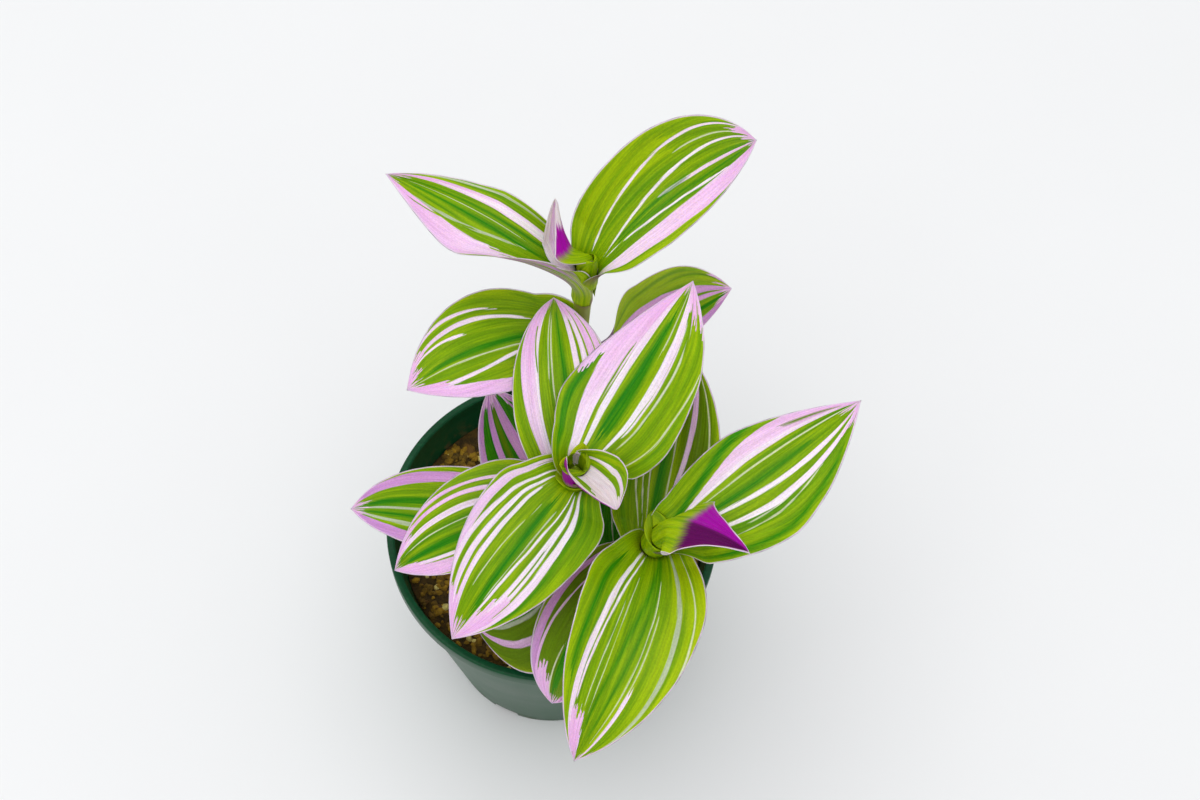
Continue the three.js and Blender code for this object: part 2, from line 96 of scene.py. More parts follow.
# Each stripe in percent: its colour, where across the leaf it lies a fifth and four fifths of the
# way to the tip (0 the right margin and 100 the left, seen from the base), its widths there, and
# how far along the leaf it starts and ends.
LEAVES = {
    "leaf_back_young": dict(
        stem="back", height=178, heading=155, rise=50, droop=-33, swing=-35, length=29, width=17,
        roll=-84, cup=116, fall=0.85, skew=-0.18, flare_end=12, bend_end=5.5, widest_at=0.48,
        tip=1.1, ground="shaded_pink", under="magenta", margin="shaded_pink", clasp=0.5, fade=0.66, through=0,
        stripes=(
            ("lilac", 78, 70, 14, 20, 0, 120), ("olive", 50, 50, 16, 10, 0, 90))),
    "bud_back": dict(
        ROLLED, stem="back", height=176, heading=-60, rise=80, length=13, width=17, cup=178,
        fall=1.6, bend_end=14, widest_at=0.55, sheath=7, wrap=2.72),
    "leaf_back_1": dict(
        stem="back", height=175.5, heading=44, rise=57, droop=98, length=75, width=31, roll=22,
        cup=34, fall=1.8, skew=0.1, flare_end=14, widest_at=0.44, stripes=(
            ("yellow", 78, 80, 34, 22, 0, 55), ("lilac", 20, 10, 16, 20, 2, 100),
            ("white", 40, 20, 1.5, 3, 16, 66), ("dark", 43, 28, 3, 3, 20, 85),
            ("lilac", 52, 37.5, 1, 4.8, 38, 100), ("dark", 45.5, 44, 3, 2, 15, 50),
            ("white", 48.5, 65, 1.8, 3.4, 8, 100), ("white", 67, 90, 1.8, 2.8, 5, 100),
            ("fine", 60, 76, 0.6, 2, 55, 90), ("lilac", 86, 86, 40, 40, 87, 100))),
    "leaf_back_2": dict(
        stem="back", height=169, heading=159, rise=40, droop=71, swing=-14, length=75, width=25,
        roll=-17, cup=20, fall=1.15, skew=0.29, flare_end=46, bend_end=10.5, widest_at=0.48,
        under="mauve", through=0.55, clasp=0.16, stripes=(
            ("grey", 11, 4, 3, 4.5, 20, 78), ("lilac", 32, 19, 13, 13, 10, 100),
            ("white", 33, 21, 7, 5, 10, 70), ("dark", 43, 41, 4, 4, 20, 85),
            ("fine", 48, 49, 1, 1.2, 30, 85), ("dark", 55, 57, 5, 5, 20, 80),
            ("grey", 53, 79, 1.5, 4, 30, 90), ("lilac", 80, 93, 16, 30, 33, 100),
            ("green", 45, 86, 2, 2, 50, 74))),
    "leaf_back_3": dict(
        stem="back", height=146, heading=201, rise=41, droop=66, swing=12, length=59, width=38,
        roll=6, cup=12, fall=2.2, flare_end=13, widest_at=0.46, tip=0.95, stripes=(
            ("dark", 47, 48, 8, 5, 15, 85), ("white", 29, 3, 1, 3.5, 44, 100),
            ("white", 33, 15, 1.8, 5, 26, 100), ("white", 53, 22.5, 3, 3, 60, 100),
            ("fine", 54.5, 54.5, 1, 1.6, 35, 90), ("white", 53, 77, 1.8, 5, 25, 100),
            ("lilac", 96, 90, 5, 20, 40, 100), ("lilac", 84, 84, 26, 26, 76, 100),
            ("lilac", 17, 17, 36, 36, 86, 100))),
    "leaf_back_4": dict(
        stem="back", height=122, heading=27, rise=37, droop=32, swing=5, length=58, width=37,
        roll=66, cup=23, fall=2.2, skew=0.5, flare_end=32, bend_end=5, closure=130,
        widest_at=0.58, stripes=(
            ("yellow", 90, 90, 30, 30, 0, 100), ("dark", 45, 42, 10, 12, 10, 90),
            ("mauve", 57, 58, 3, 5, 0, 95), ("mauve", 71, 68, 9, 9, 0, 95),
            ("mauve", 10, 10, 10, 22, 40, 100))),
    "leaf_centre_young": dict(
        stem="centre", height=162, heading=-59, rise=40, droop=3, swing=-1, length=33, width=18.3,
        roll=-18, cup=70, fall=1.8, skew=0.24, flare_end=16.5, bend_end=11, widest_at=0.54,
        sheath=5, closure=176, tip=1.1, ground="shaded_pink", under="magenta", clasp=0.12, through=0,
        stripes=(
            ("green", 93, 93, 20, 14, 0, 97), ("yellow", 92, 92, 6, 5, 0, 90),
            ("white", 82, 83, 4, 5, 30, 120), ("green", 75, 74, 9, 7, 0, 86),
            ("green", 33, 33, 12, 10, 0, 62), ("green", 26, 26, 5, 5, 0, 70))),
    "bud_centre": dict(
        ROLLED, stem="centre", height=161.5, heading=-40, rise=60, length=10.8, width=18.4,
        cup=174, fall=18, flare_end=40, bend_end=11, widest_at=0.85, sheath=5, wrap=2.55, stripes=(
            ("white", 86, 86, 10, 10, 40, 84), ("white", 10, 10, 8, 8, 40, 80))),
    "sheath_centre": dict(
        MOUTH, stem="centre", height=156, heading=262, rise=84, length=7.5, width=24, wrap=3.8),
    "leaf_centre_1": dict(
        stem="centre", height=162, heading=52, rise=26, droop=18, swing=16, length=65, width=40,
        roll=-14, cup=20, fall=1.7, skew=-0.12, stripes=(
            ("dark", 50, 52, 12, 9, 20, 78), ("fine", 15.5, -3, 1.2, 1.4, 14, 60),
            ("fine", 33.5, 20, 1, 2.2, 15, 78), ("dark", 91, 98, 7, 3, 10, 50),
            ("white", 37.5, 27, 1.2, 2, 20, 72), ("white", 40.2, 32.5, 2.2, 9, 10, 100),
            ("lilac", 12, 12, 38, 40, 78, 100), ("green", 8.5, 8.5, 7, 6, 60, 84),
            ("green", 21, 21.5, 3, 2.5, 60, 80), ("white", 59.5, 69.5, 4.5, 9, 6, 100),
            ("lilac", 71, 87, 13, 28, 2, 100), ("lilac", 97, 96, 10, 12, 47, 100),
            ("green", 64.5, 77, 2, 1.8, 8, 58), ("fine", 42.5, 43.5, 0.8, 2.2, 60, 95))),
    "leaf_centre_2": dict(
        stem="centre", height=156, heading=236, rise=8, droop=50, swing=-4, length=59, width=36,
        roll=-2, cup=27, fall=2.2, skew=0.06, widest_at=0.27, stripes=(
            ("dark", 49, 52, 6, 8, 18, 82), ("dark", 77, 94, 3.5, 3, 12, 78),
            ("lilac", 8, -2, 6, 10, 6, 100), ("white", 20, -1, 3, 5, 8, 100),
            ("white", 27, 10.5, 3, 7, 10, 100), ("white", 32.5, 21, 3, 6.5, 12, 100),
            ("lilac", 10, 10, 26, 24, 80, 100), ("fine", 44.5, 33, 0.8, 1.2, 30, 75),
            ("fine", 56, 56, 0.8, 1, 20, 70), ("white", 60, 59, 1.2, 3, 12, 82),
            ("white", 65, 75.5, 3, 12, 8, 100), ("white", 71.5, 88, 4, 9, 8, 100),
            ("green", 65.5, 76, 1.2, 1.8, 42, 72), ("lilac", 73, 73, 30, 30, 74, 100))),
    "leaf_centre_3": dict(
        stem="centre", height=148, heading=110, rise=54, droop=82, swing=-20, length=66, width=31,
        roll=-5, cup=27, fall=1.9, skew=-0.16, flare_end=12, widest_at=0.4, tip=0.97, stripes=(
            ("dark", 42, 42, 6, 5, 20, 85), ("lilac", 12, 3, 7, 6, 25, 100),
            ("lilac", 19, 11, 5, 7, 30, 100), ("white", 27, 19, 3, 6, 25, 100),
            ("white", 35, 27.5, 2.5, 6, 25, 100), ("lilac", 15, 15, 30, 30, 83, 100),
            ("fine", 53, 53, 0.8, 2.4, 42, 82), ("fine", 57.5, 57, 0.8, 1.8, 50, 86),
            ("lilac", 73, 86, 14, 22, 5, 100), ("white", 68, 74, 2, 5, 5, 100),
            ("green", 56, 80, 2, 2.2, 60, 84), ("lilac", 86, 86, 30, 30, 80, 100))),
    "leaf_centre_4": dict(
        stem="centre", height=138, heading=195, rise=37, droop=93, swing=9, length=62, width=34,
        roll=3, cup=24, fall=1.9, skew=0.03, flare_end=16, widest_at=0.36, tip=0.94, stripes=(
            ("dark", 55, 59, 8, 12, 20, 86), ("lilac", 20, 0, 2, 4.5, 15, 100),
            ("lilac", 28, 8.5, 3, 5, 12, 100), ("white", 36, 24.5, 3, 8.5, 10, 100),
            ("lilac", 12, 12, 30, 30, 84, 100), ("fine", 44, 40, 0.8, 1.4, 30, 80),
            ("white", 66, 76, 1.5, 5, 20, 100), ("lilac", 80, 90, 12, 20, 30, 100),
            ("lilac", 85, 85, 32, 32, 78, 100))),
    "leaf_centre_5": dict(
        stem="centre", height=112, heading=179, rise=43, droop=94, swing=-13, length=78, width=28,
        roll=-17, cup=28, fall=2.1, skew=0.06, flare_end=16, widest_at=0.4, tip=0.91, stripes=(
            ("mauve", 14, 12, 8, 17, 10, 100), ("dark", 43, 45, 9, 11, 10, 85),
            ("grey", 54, 56, 2, 4, 20, 95), ("dark", 64, 66, 5, 6, 10, 85),
            ("grey", 74, 76, 2, 5, 20, 95), ("mauve", 93, 92, 6, 18, 20, 100))),
    "leaf_centre_6": dict(
        stem="centre", height=104, heading=128, rise=45, droop=60, swing=-14, length=60, width=32,
        cup=25, flare_end=14, ground="dark", tip=0.9, stripes=(
            ("mauve", 12, 12, 8, 12, 20, 100), ("mauve", 30, 26, 2, 4, 20, 100),
            ("mauve", 43, 53, 7, 16, 15, 100), ("olive", 60, 66, 5, 6, 10, 95),
            ("mauve", 68, 76, 4, 9, 20, 100), ("mauve", 96, 95, 5, 10, 30, 100))),
    "leaf_centre_7": dict(
        stem="centre", height=90, heading=218, rise=11, droop=51, swing=-10, length=38,
        width=44, roll=10, cup=11, fall=2.2, skew=0.45, flare_end=12, widest_at=0.55,
        ground="olive", tip=0.99, stripes=(
            ("dark", 54, 56, 20, 20, 10, 90), ("grey", 30, 30, 3, 5, 40, 100),
            ("grey", 65, 67, 1.5, 3, 40, 90), ("lilac", 79, 80, 3, 6, 30, 100))),
    "sheath_right": dict(
        MOUTH, stem="right", height=160, heading=235, rise=86, length=8.5, width=24.4, wrap=3.85),
    "leaf_right_young": dict(
        stem="right", height=168.1, heading=154, rise=88, droop=-115, swing=-3, length=38.6,
        width=22, roll=-8, cup=37, fall=0.8, skew=-0.12, widest_at=0.48, flare_end=14, bend_end=7.5,
        fold=1, corner=1, clasp=0.56, tip=1.1, ground="shaded_pink", under="magenta", through=0,
        # Painted shade: left of the midrib the underside is a darker purple, for its shaded half.
        under_left_shade="purple", stripes=(
            ("green", 48, 48, 10, 6, 0, 80), ("green", 20, 20, 8, 5, 0, 70),
            ("green", 80, 80, 8, 5, 0, 70))),
    "leaf_right_1": dict(
        stem="right", height=159, heading=31, rise=29, droop=30, swing=10, length=70, width=34,
        roll=12, cup=27, fall=1.4, skew=-0.22, flare_end=11, widest_at=0.47, tip=0.95, stripes=(
            ("dark", 7, 8, 5, 4, 20, 82), ("dark", 46, 46, 5, 3.5, 15, 74),
            ("dark", 72, 120, 8, 10, 12, 62), ("fine", 21, 20, 0.8, 1.4, 34, 68),
            ("fine", 25.5, 24, 0.8, 1, 38, 62), ("white", 32, 22, 2.5, 5.5, 8, 100),
            ("white", 43, 33, 1.8, 5, 10, 100), ("fine", 56, 61, 1.2, 3, 12, 100),
            ("lilac", 63.5, 89, 5, 34, 3, 100), ("white", 62.5, 75.5, 2, 7, 5, 100),
            ("olive", 84, 85, 5, 5, 71, 90), ("lilac", 22, 22, 26, 26, 90, 100))),
    "leaf_right_2": dict(
        stem="right", height=152, heading=264, rise=33, droop=88, swing=-24, length=70, width=36,
        roll=-14, cup=36, skew=0.04, tip=0.975, stripes=(
            ("yellow", 82, 82, 36, 32, 0, 100), ("dark", 19, 6, 6, 4, 10, 62),
            ("dark", 57.5, 43, 3.5, 3, 10, 82), ("dark", 61.5, 56, 1.6, 1.6, 15, 80),
            ("white", 33.5, 13, 4, 6, 2, 100), ("white", 39.5, 17, 1.4, 2.4, 6, 74),
            ("fine", 42.5, 32, 0.7, 1, 30, 75), ("fine", 44.5, 40, 0.6, 0.9, 25, 70),
            ("lilac", 23, 23, 32, 32, 80, 95), ("fine", 63, 66, 0.7, 1, 25, 85),
            ("fine", 65.5, 71, 0.7, 1, 30, 80), ("grey", 76.5, 95.5, 3.2, 4.2, 4, 100),
            ("fine", 88, 108, 1.2, 1.6, 10, 72), ("white", 60, 73.5, 1.2, 4.5, 62, 100))),
    "leaf_right_3": dict(
        stem="right", height=144, heading=74, rise=43, droop=50, swing=11, length=62, width=30,
        cup=28, stripes=(
            ("olive", 26, 26, 30, 34, 0, 100), ("fine", 13, 12, 1.2, 2.2, 20, 100),
            ("lilac", 43, 28, 2, 9, 8, 100), ("fine", 45.5, 50, 1.2, 1.6, 10, 90),
            ("dark", 54, 57, 8, 8, 10, 90), ("fine", 60, 76, 1.2, 1.8, 15, 90),
            ("fine", 65, 86, 1.2, 1.8, 12, 80), ("fine", 70, 97, 1.2, 1.8, 12, 70),
            ("lilac", 93, 92, 4, 12, 60, 100))),
    "leaf_right_4": dict(
        stem="right", height=131, heading=234, rise=40, droop=130, swing=15, length=60, width=25,
        cup=26, flare_end=12, widest_at=0.42, ground="olive", stripes=(
            ("mauve", 12, 5.5, 6, 12, 5, 100), ("lilac", 29, 9, 1.4, 3.5, 20, 84),
            ("lilac", 20, 20, 34, 34, 76, 100), ("dark", 50, 50, 12, 12, 10, 85),
            ("fine", 48, 38.5, 0.8, 2.6, 60, 100), ("mauve", 72, 80, 2, 5, 10, 100),
            ("mauve", 93, 93, 5, 12, 10, 100))),
    "leaf_right_5": dict(
        stem="right", height=119, heading=78, rise=45, droop=65, swing=20, length=50, width=26,
        cup=26, ground="dark", stripes=(
            ("fine", 30, 16, 1.4, 2.2, 10, 90), ("fine", 42, 34, 1.2, 1.8, 10, 90),
            ("grey", 58, 66, 1.4, 2.2, 10, 90), ("grey", 68, 84, 1.4, 2.2, 10, 90),
            ("mauve", 94, 94, 4, 10, 30, 100))),
}

# ---------------------------------------------------------------- nodes as arithmetic


class Field:
    """A node's output, which can be calculated with like a number, a vector or a colour."""

    def __init__(self, socket):
        self.socket = socket

    def __add__(self, other):
        return calculate("ADD", self, other)

    def __radd__(self, other):
        return calculate("ADD", other, self)

    def __sub__(self, other):
        return calculate("SUBTRACT", self, other)

    def __rsub__(self, other):
        return calculate("SUBTRACT", other, self)

    def __mul__(self, other):
        return calculate("MULTIPLY", self, other)

    def __rmul__(self, other):
        return calculate("MULTIPLY", other, self)

    def __truediv__(self, other):
        return calculate("DIVIDE", self, other)

    def __pow__(self, other):
        return calculate("POWER", self, other)


def tree_of(*values):
    """The node tree that the first field of some values is in."""
    return next(value.socket.id_data for value in values if isinstance(value, Field))


def is_wide(value):
    """Whether a value has several components, as a vector or a colour has."""
    if isinstance(value, Field):
        return value.socket.type in {"VECTOR", "RGBA"}
    return hasattr(value, "__len__")


def pick(sockets, key):
    """The socket in use that has a name, or stands at a number."""
    if isinstance(key, int):
        return sockets[key]
    return next(socket for socket in sockets if socket.name == key and socket.enabled)


def put(socket, value):
    """Gives a node's input a value, or links another node's output to it."""
    if isinstance(value, Field):
        socket.id_data.links.new(value.socket, socket)
    elif socket.type == "VECTOR" and not is_wide(value):
        socket.default_value = (value,) * 3
    else:
        socket.default_value = value


def add_node(tree, kind, inputs=None, **settings):
    """A new node with its settings and inputs."""
    node = tree.nodes.new(kind)
    for name, value in settings.items():
        setattr(node, name, value)
    for key, value in (inputs or {}).items():
        put(pick(node.inputs, key), value)
    return node


def out(node, key=0):
    """One of a node's outputs as a field."""
    return Field(pick(node.outputs, key))


def calculate(operation, *values):
    """One step of arithmetic, on vectors if any of the values is one."""
    wide = any(map(is_wide, values))
    node = add_node(tree_of(*values), "ShaderNodeVectorMath" if wide else "ShaderNodeMath")
    node.operation = operation
    for socket, value in zip(node.inputs, values):
        put(socket, value)
    return out(node, "Value" if operation == "DOT_PRODUCT" or not wide else 0)


def clamped(value):
    """A number kept between 0 and 1."""
    return calculate("MINIMUM", calculate("MAXIMUM", value, 0.0), 1.0)


def magnitude(value):
    """A number without its sign."""
    return calculate("ABSOLUTE", value)


def ramp(value, low, high):
    """0 below low, 1 above high and smooth between them. high may be the lower one."""
    inputs = {"Value": value, "From Min": low, "From Max": high}
    tree = tree_of(value, low, high)
    return out(add_node(tree, "ShaderNodeMapRange", inputs, interpolation_type="SMOOTHSTEP"))


def from_axis(x, y):
    """How far a place is from the pot's axis."""
    return calculate("SQRT", x * x + y * y)


def combined(tree, x, y, z):
    """A vector from its three components."""
    return out(add_node(tree, "ShaderNodeCombineXYZ", {"X": x, "Y": y, "Z": z}))


def parts(value):
    """A vector's three components."""
    node = add_node(tree_of(value), "ShaderNodeSeparateXYZ", {0: value})
    return [out(node, axis) for axis in "XYZ"]


def noise(place, scale=1.0, detail=2.0, roughness=0.5):
    """Smooth random values from 0 to 1 over a place."""
    inputs = {"Vector": place, "Scale": scale, "Detail": detail, "Roughness": roughness}
    return out(add_node(tree_of(place), "ShaderNodeTexNoise", inputs), "Fac")


def static(value):
    """A random value from 0 to 1 for each different number."""
    tree = tree_of(value)
    return out(add_node(tree, "ShaderNodeTexWhiteNoise", {"W": value}, noise_dimensions="1D"))


def mixed(share, low, high):
    """The colour between two others."""
    inputs = {"Factor": share, "A": low, "B": high}
    tree = tree_of(share, low, high)
    return out(add_node(tree, "ShaderNodeMix", inputs, data_type="RGBA"), "Result")


def linear(colour):
    """A colour as the screen has it, in the renderer's own linear values."""
    def channel(value):
        return value / 12.92 if value <= 0.04045 else ((value + 0.055) / 1.055) ** 2.4
    return (*map(channel, colour[:3]), 1.0)


def shaded(colour, factor):
    """A colour made darker or lighter."""
    return (*(min(factor * channel, 1) for channel in colour[:3]), 1)


def place_in(tree):
    """Where each point of the piece is, in a material or a Geometry Nodes tree."""
    if tree.type == "SHADER":
        return out(add_node(tree, "ShaderNodeTexCoord"), "Object")
    return out(add_node(tree, "GeometryNodeInputPosition"))


def stored(tree, name, kind="FLOAT"):
    """A value that the piece's mesh holds, in a material or a Geometry Nodes tree."""
    if tree.type == "SHADER":
        return out(add_node(tree, "ShaderNodeAttribute", attribute_name=name), "Fac")
    return out(add_node(tree, "GeometryNodeInputNamedAttribute", {"Name": name}, data_type=kind))


def changed(tree, kind, geometry, inputs=None, **settings):
    """Geometry after one more node, whose kind is given without its first two words."""
    inputs = {0: geometry, **(inputs or {})}
    return out(add_node(tree, f"GeometryNode{kind}", inputs, **settings))


def new_tree(name, kind, sockets):
    """A node group with named inputs, each a (name, socket type, default) row."""
    tree = bpy.data.node_groups.new(name, kind)
    for label, socket_type, default in sockets:
        made = tree.interface.new_socket(
            label, in_out="INPUT", socket_type=f"NodeSocket{socket_type}")
        if default is not None:
            made.default_value = default
    entry = add_node(tree, "NodeGroupInput")
    return tree, {row[0]: out(entry, row[0]) for row in sockets}


def finish_tree(tree, results):
    """Adds a group's outputs, each a (name, socket type, field) row."""
    for label, socket_type, _ in results:
        tree.interface.new_socket(label, in_out="OUTPUT", socket_type=f"NodeSocket{socket_type}")
    add_node(tree, "NodeGroupOutput", {label: value for label, _, value in results})


def finish_shape(tree, shape, material):
    """Ends a Geometry Nodes tree with its real, coated geometry."""
    solid = changed(tree, "RealizeInstances", shape)
    coated = changed(tree, "SetMaterial", solid, {"Material": material})
    finish_tree(tree, [("Geometry", "Geometry", coated)])
    return tree


def group(tree, inner, inputs):
    """A node that runs another group."""
    name = "ShaderNodeGroup" if tree.type == "SHADER" else "GeometryNodeGroup"
    return add_node(tree, name, inputs, node_tree=inner)


# ---------------------------------------------------------------- pieces


def new_piece(name, mesh):
    """An object at the origin that shows a mesh."""
    piece = bpy.data.objects.new(name, mesh)
    bpy.context.scene.collection.objects.link(piece)
    return piece


def keep_result(piece):
    """Makes the outcome of a piece's modifiers its own plain mesh."""
    depsgraph = bpy.context.evaluated_depsgraph_get()
    evaluated = piece.evaluated_get(depsgraph)
    made = bpy.data.meshes.new_from_object(
        evaluated, preserve_all_data_layers=True, depsgraph=depsgraph)
    source = piece.data
    piece.modifiers.clear()
    piece.data = made
    bpy.data.meshes.remove(source)
    made.name = piece.name
    return piece


def grown(name, tree, inputs, mesh=None):
    """A piece whose mesh a Geometry Nodes tree makes from its named inputs."""
    piece = new_piece(name, mesh or bpy.data.meshes.new(name))
    modifier = piece.modifiers.new("Shape", "NODES")
    modifier.node_group = tree
    for item in tree.interface.items_tree:
        if item.in_out == "INPUT" and item.name in inputs:
            modifier[item.identifier] = inputs[item.name]
    return keep_result(piece)


def settle(piece, slot, *nodes):
    """Puts a finished piece on the plant's body and hides the nodes it stands for; slot is not
    used.
    """
    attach(piece, "root")
    if nodes:
        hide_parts(*nodes)


def outward_mesh(name, body):
    """The mesh of a closed bmesh, which is freed, with its faces outward."""
    bmesh.ops.recalc_face_normals(body, faces=body.faces)
    mesh = bpy.data.meshes.new(name)
    body.to_mesh(mesh)
    body.free()
    return mesh


def turned(name, profile, sides):
    """A closed body of revolution from (radius, height) points, given from its lower pole up."""
    body = bmesh.new()
    rings = []
    for radius, height in profile:
        if radius == 0:
            rings.append([body.verts.new((0, 0, height))])
            continue
        angles = [math.tau * i / sides for i in range(sides)]
        rings.append([body.verts.new((radius * math.cos(a), radius * math.sin(a), height))
                      for a in angles])
    for low, high in zip(rings, rings[1:]):
        for i in range(sides):
            j = (i + 1) % sides
            corners = [low[i % len(low)], low[j % len(low)],
                       high[j % len(high)], high[i % len(high)]]
            body.faces.new(dict.fromkeys(corners))
    return outward_mesh(name, body)


def smooth(mesh, sharp_angle=35):
    """Smooth shading that leaves the real edges sharp."""
    mesh.shade_smooth()
    mesh.set_sharp_from_angle(angle=math.radians(sharp_angle))


def new_material(name):
    """A material with nothing in it but its surface shader."""
    material = bpy.data.materials.new(name)
    material.use_nodes = True
    tree = material.node_tree
    return material, tree, tree.nodes["Principled BSDF"]


def coat(shader, inputs):
    """Gives a surface or background shader its values."""
    for name, value in inputs.items():
        put(shader.inputs[name], value)


def bump(tree, height, depth, strength):
    """The normal of a surface with fine relief."""
    inputs = {"Height": height, "Distance": depth, "Strength": strength}
    return out(add_node(tree, "ShaderNodeBump", inputs))


# ---------------------------------------------------------------- settings


def colour_property(name, description, default):
    """A colour as the screen has it."""
    return FloatVectorProperty(name=name, description=description, default=default, size=3,
                               subtype="COLOR_GAMMA", min=0, max=1)


def length_property(name, description, default):
    """A length in metres."""
    return FloatProperty(name=name, description=description, default=default, min=0,
                         subtype="DISTANCE", unit="LENGTH", precision=5)


class PotSettings(bpy.types.PropertyGroup):
    """Sizes and finish of the nursery pot."""
    wall: length_property("Wall", "Thickness of the wall", 1.4 * MM)
    lip_height: length_property("Lip height", "Height of the thicker lip", 6 * MM)
    lip_width: length_property("Lip width", "Thickness of the lip", 2.6 * MM)
    base_radius: length_property("Base radius", "Outer radius at the foot", 36 * MM)
    wall_top_radius: length_property("Wall top radius", "Outer radius under the lip", 50.6 * MM)
    edge_round: length_property("Edge rounding", "Rounding of the lip and foot", 0.8 * MM)
    notches: IntProperty(name="Drain notches", description="Notches round the foot", default=8,
                         min=0)
    colour: colour_property("Plastic", "Colour of the plastic", (0.035, 0.275, 0.15))
    dust: colour_property("Dust", "Colour of the dried potting mix on it", (0.42, 0.33, 0.20))


class SoilSettings(bpy.types.PropertyGroup):
    """Sizes and colours of the potting mix."""
    roughness_height: length_property("Unevenness", "Height of the mix's bumps", 3.2 * MM)
    crumbs: IntProperty(name="Crumbs", description="Crumbs for each square metre", default=280000)
    chips: IntProperty(name="Bark chips", description="Chips for each square metre", default=16000)
    perlite: IntProperty(name="Perlite", description="Grains for each square metre", default=22000)
    seed: IntProperty(name="Seed", description="Seed of everything scattered", default=7)
    peat: colour_property("Peat", "Colour of the fine mix", (0.38, 0.29, 0.04))
    crumb: colour_property("Crumb", "Colour of the crumbs", (0.54, 0.42, 0.06))
    bark: colour_property("Bark", "Colour of the bark chips", (0.46, 0.33, 0.10))
    grain: colour_property("Perlite grain", "Colour of the perlite", (0.90, 0.84, 0.48))


class StemSettings(bpy.types.PropertyGroup):
    """Sizes and colours of the stems."""
    radius: length_property("Radius", "Radius between two joints", 2.5 * MM)
    swelling: FloatProperty(name="Swelling", description="Extra girth at a joint", default=0.1,
                            subtype="FACTOR")
    colour: colour_property("Stem", "Colour between the joints", (0.60, 0.68, 0.16))
    flush: colour_property("Flush", "Purple flush at the joints", (0.50, 0.16, 0.42))


class LeafSettings(bpy.types.PropertyGroup):
    """Relief and colours of the leaves."""
    thickness: length_property("Thickness", "Thickness at the midrib", 0.55 * MM)
    midrib: length_property("Midrib", "Depth of the midrib's groove", 0.45 * MM)
    pleats: length_property("Pleats", "Height of the lengthwise pleats", 0.10 * MM)
    waves: length_property("Waves", "Height of the margin's waves", 0.75 * MM)
    green: colour_property("Green", "Main green", (0.43, 0.60, 0.005))
    dark: colour_property("Dark green", "Green of the darkest streaks", (0.12, 0.50, 0.0))
    yellow: colour_property("Yellow green", "Green of the palest streaks", (0.61, 0.72, 0.01))
    olive: colour_property("Olive", "Green of the shaded leaves", (0.36, 0.45, 0.02))
    white: colour_property("White", "Colour of the narrow stripes", (0.96, 0.93, 0.95))
    lilac: colour_property("Lilac", "Colour of the broad stripes", (0.92, 0.71, 0.90))
    mauve: colour_property("Mauve", "Deeper pink of the lower leaves", (0.76, 0.53, 0.79))
    # Partly the youngest leaves' own pink and partly painted shade: a greyer copy of the lilac.
    shaded_pink: colour_property("Dusty pink", "Upper face of the youngest leaves", (0.82, 0.69, 0.74))
    magenta: colour_property("Magenta", "Underside of the youngest leaves", (0.64, 0.0, 0.64))
    purple: colour_property("Purple", "Underside of the grown leaves", (0.36, 0.0, 0.33))


class StageSettings(bpy.types.PropertyGroup):
    """The floor and the studio light."""
    floor_size: length_property("Floor", "Side of the square floor", 6.0)
    floor_colour: colour_property("Floor colour", "Colour of the floor", (0.95, 0.955, 0.96))
    key_power: FloatProperty(name="Key light", description="Power of the large light", default=21.0,
                             unit="POWER")
    fill: FloatProperty(name="Fill light", description="Strength of the light all round",
                        default=0.73)


# ---------------------------------------------------------------- pot

POT_SIDES = 144
FLOOR_TOP, FLOOR_UNDERSIDE = 2 * MM, 1.2 * MM
FOOT_WIDTH = 6 * MM
CORNER_STEPS = 5


def pot_profile(settings):
    """The pot's section as (radius, height) points, from under its floor round to inside it."""
    height, rim = POT_HIGH.z, POT_HIGH.x
    round_off, lip = settings.edge_round, settings.lip_height
    wall_top = height - lip
    taper = (settings.wall_top_radius - settings.base_radius) / wall_top

    def inner(level):
        return settings.base_radius + taper * level - settings.wall

    def corner(radius, level, start):
        """A quarter round about a centre, from an angle in degrees and on by 90."""
        turns = [math.radians(start + 90 * i / CORNER_STEPS) for i in range(CORNER_STEPS + 1)]
        return [(radius + round_off * math.cos(a), level + round_off * math.sin(a)) for a in turns]

    lip_inner = rim - settings.lip_width
    foot_ring = settings.base_radius - FOOT_WIDTH
    return [
        (0, FLOOR_UNDERSIDE), (foot_ring, FLOOR_UNDERSIDE), (foot_ring + 1 * MM, 0),
        *corner(settings.base_radius - round_off, round_off, -90),
        (settings.base_radius + taper * wall_top * 0.5, wall_top * 0.5),
        (settings.wall_top_radius - 0.1 * MM, wall_top - 0.6 * MM),
        (settings.wall_top_radius + 0.5 * MM, wall_top),
        (rim - 0.35 * MM, wall_top + 0.35 * MM), (rim - 0.05 * MM, wall_top + 1.2 * MM),
        *corner(rim - round_off, height - round_off, 0),
        *corner(lip_inner + round_off, height - round_off, 90),
        (lip_inner - 0.2 * MM, wall_top + 1.6 * MM), (inner(wall_top), wall_top),
        (inner(wall_top * 0.5), wall_top * 0.5), (inner(FLOOR_TOP) - 1 * MM, FLOOR_TOP + 1 * MM),
        (inner(FLOOR_TOP) - 2 * MM, FLOOR_TOP), (0, FLOOR_TOP),
    ]


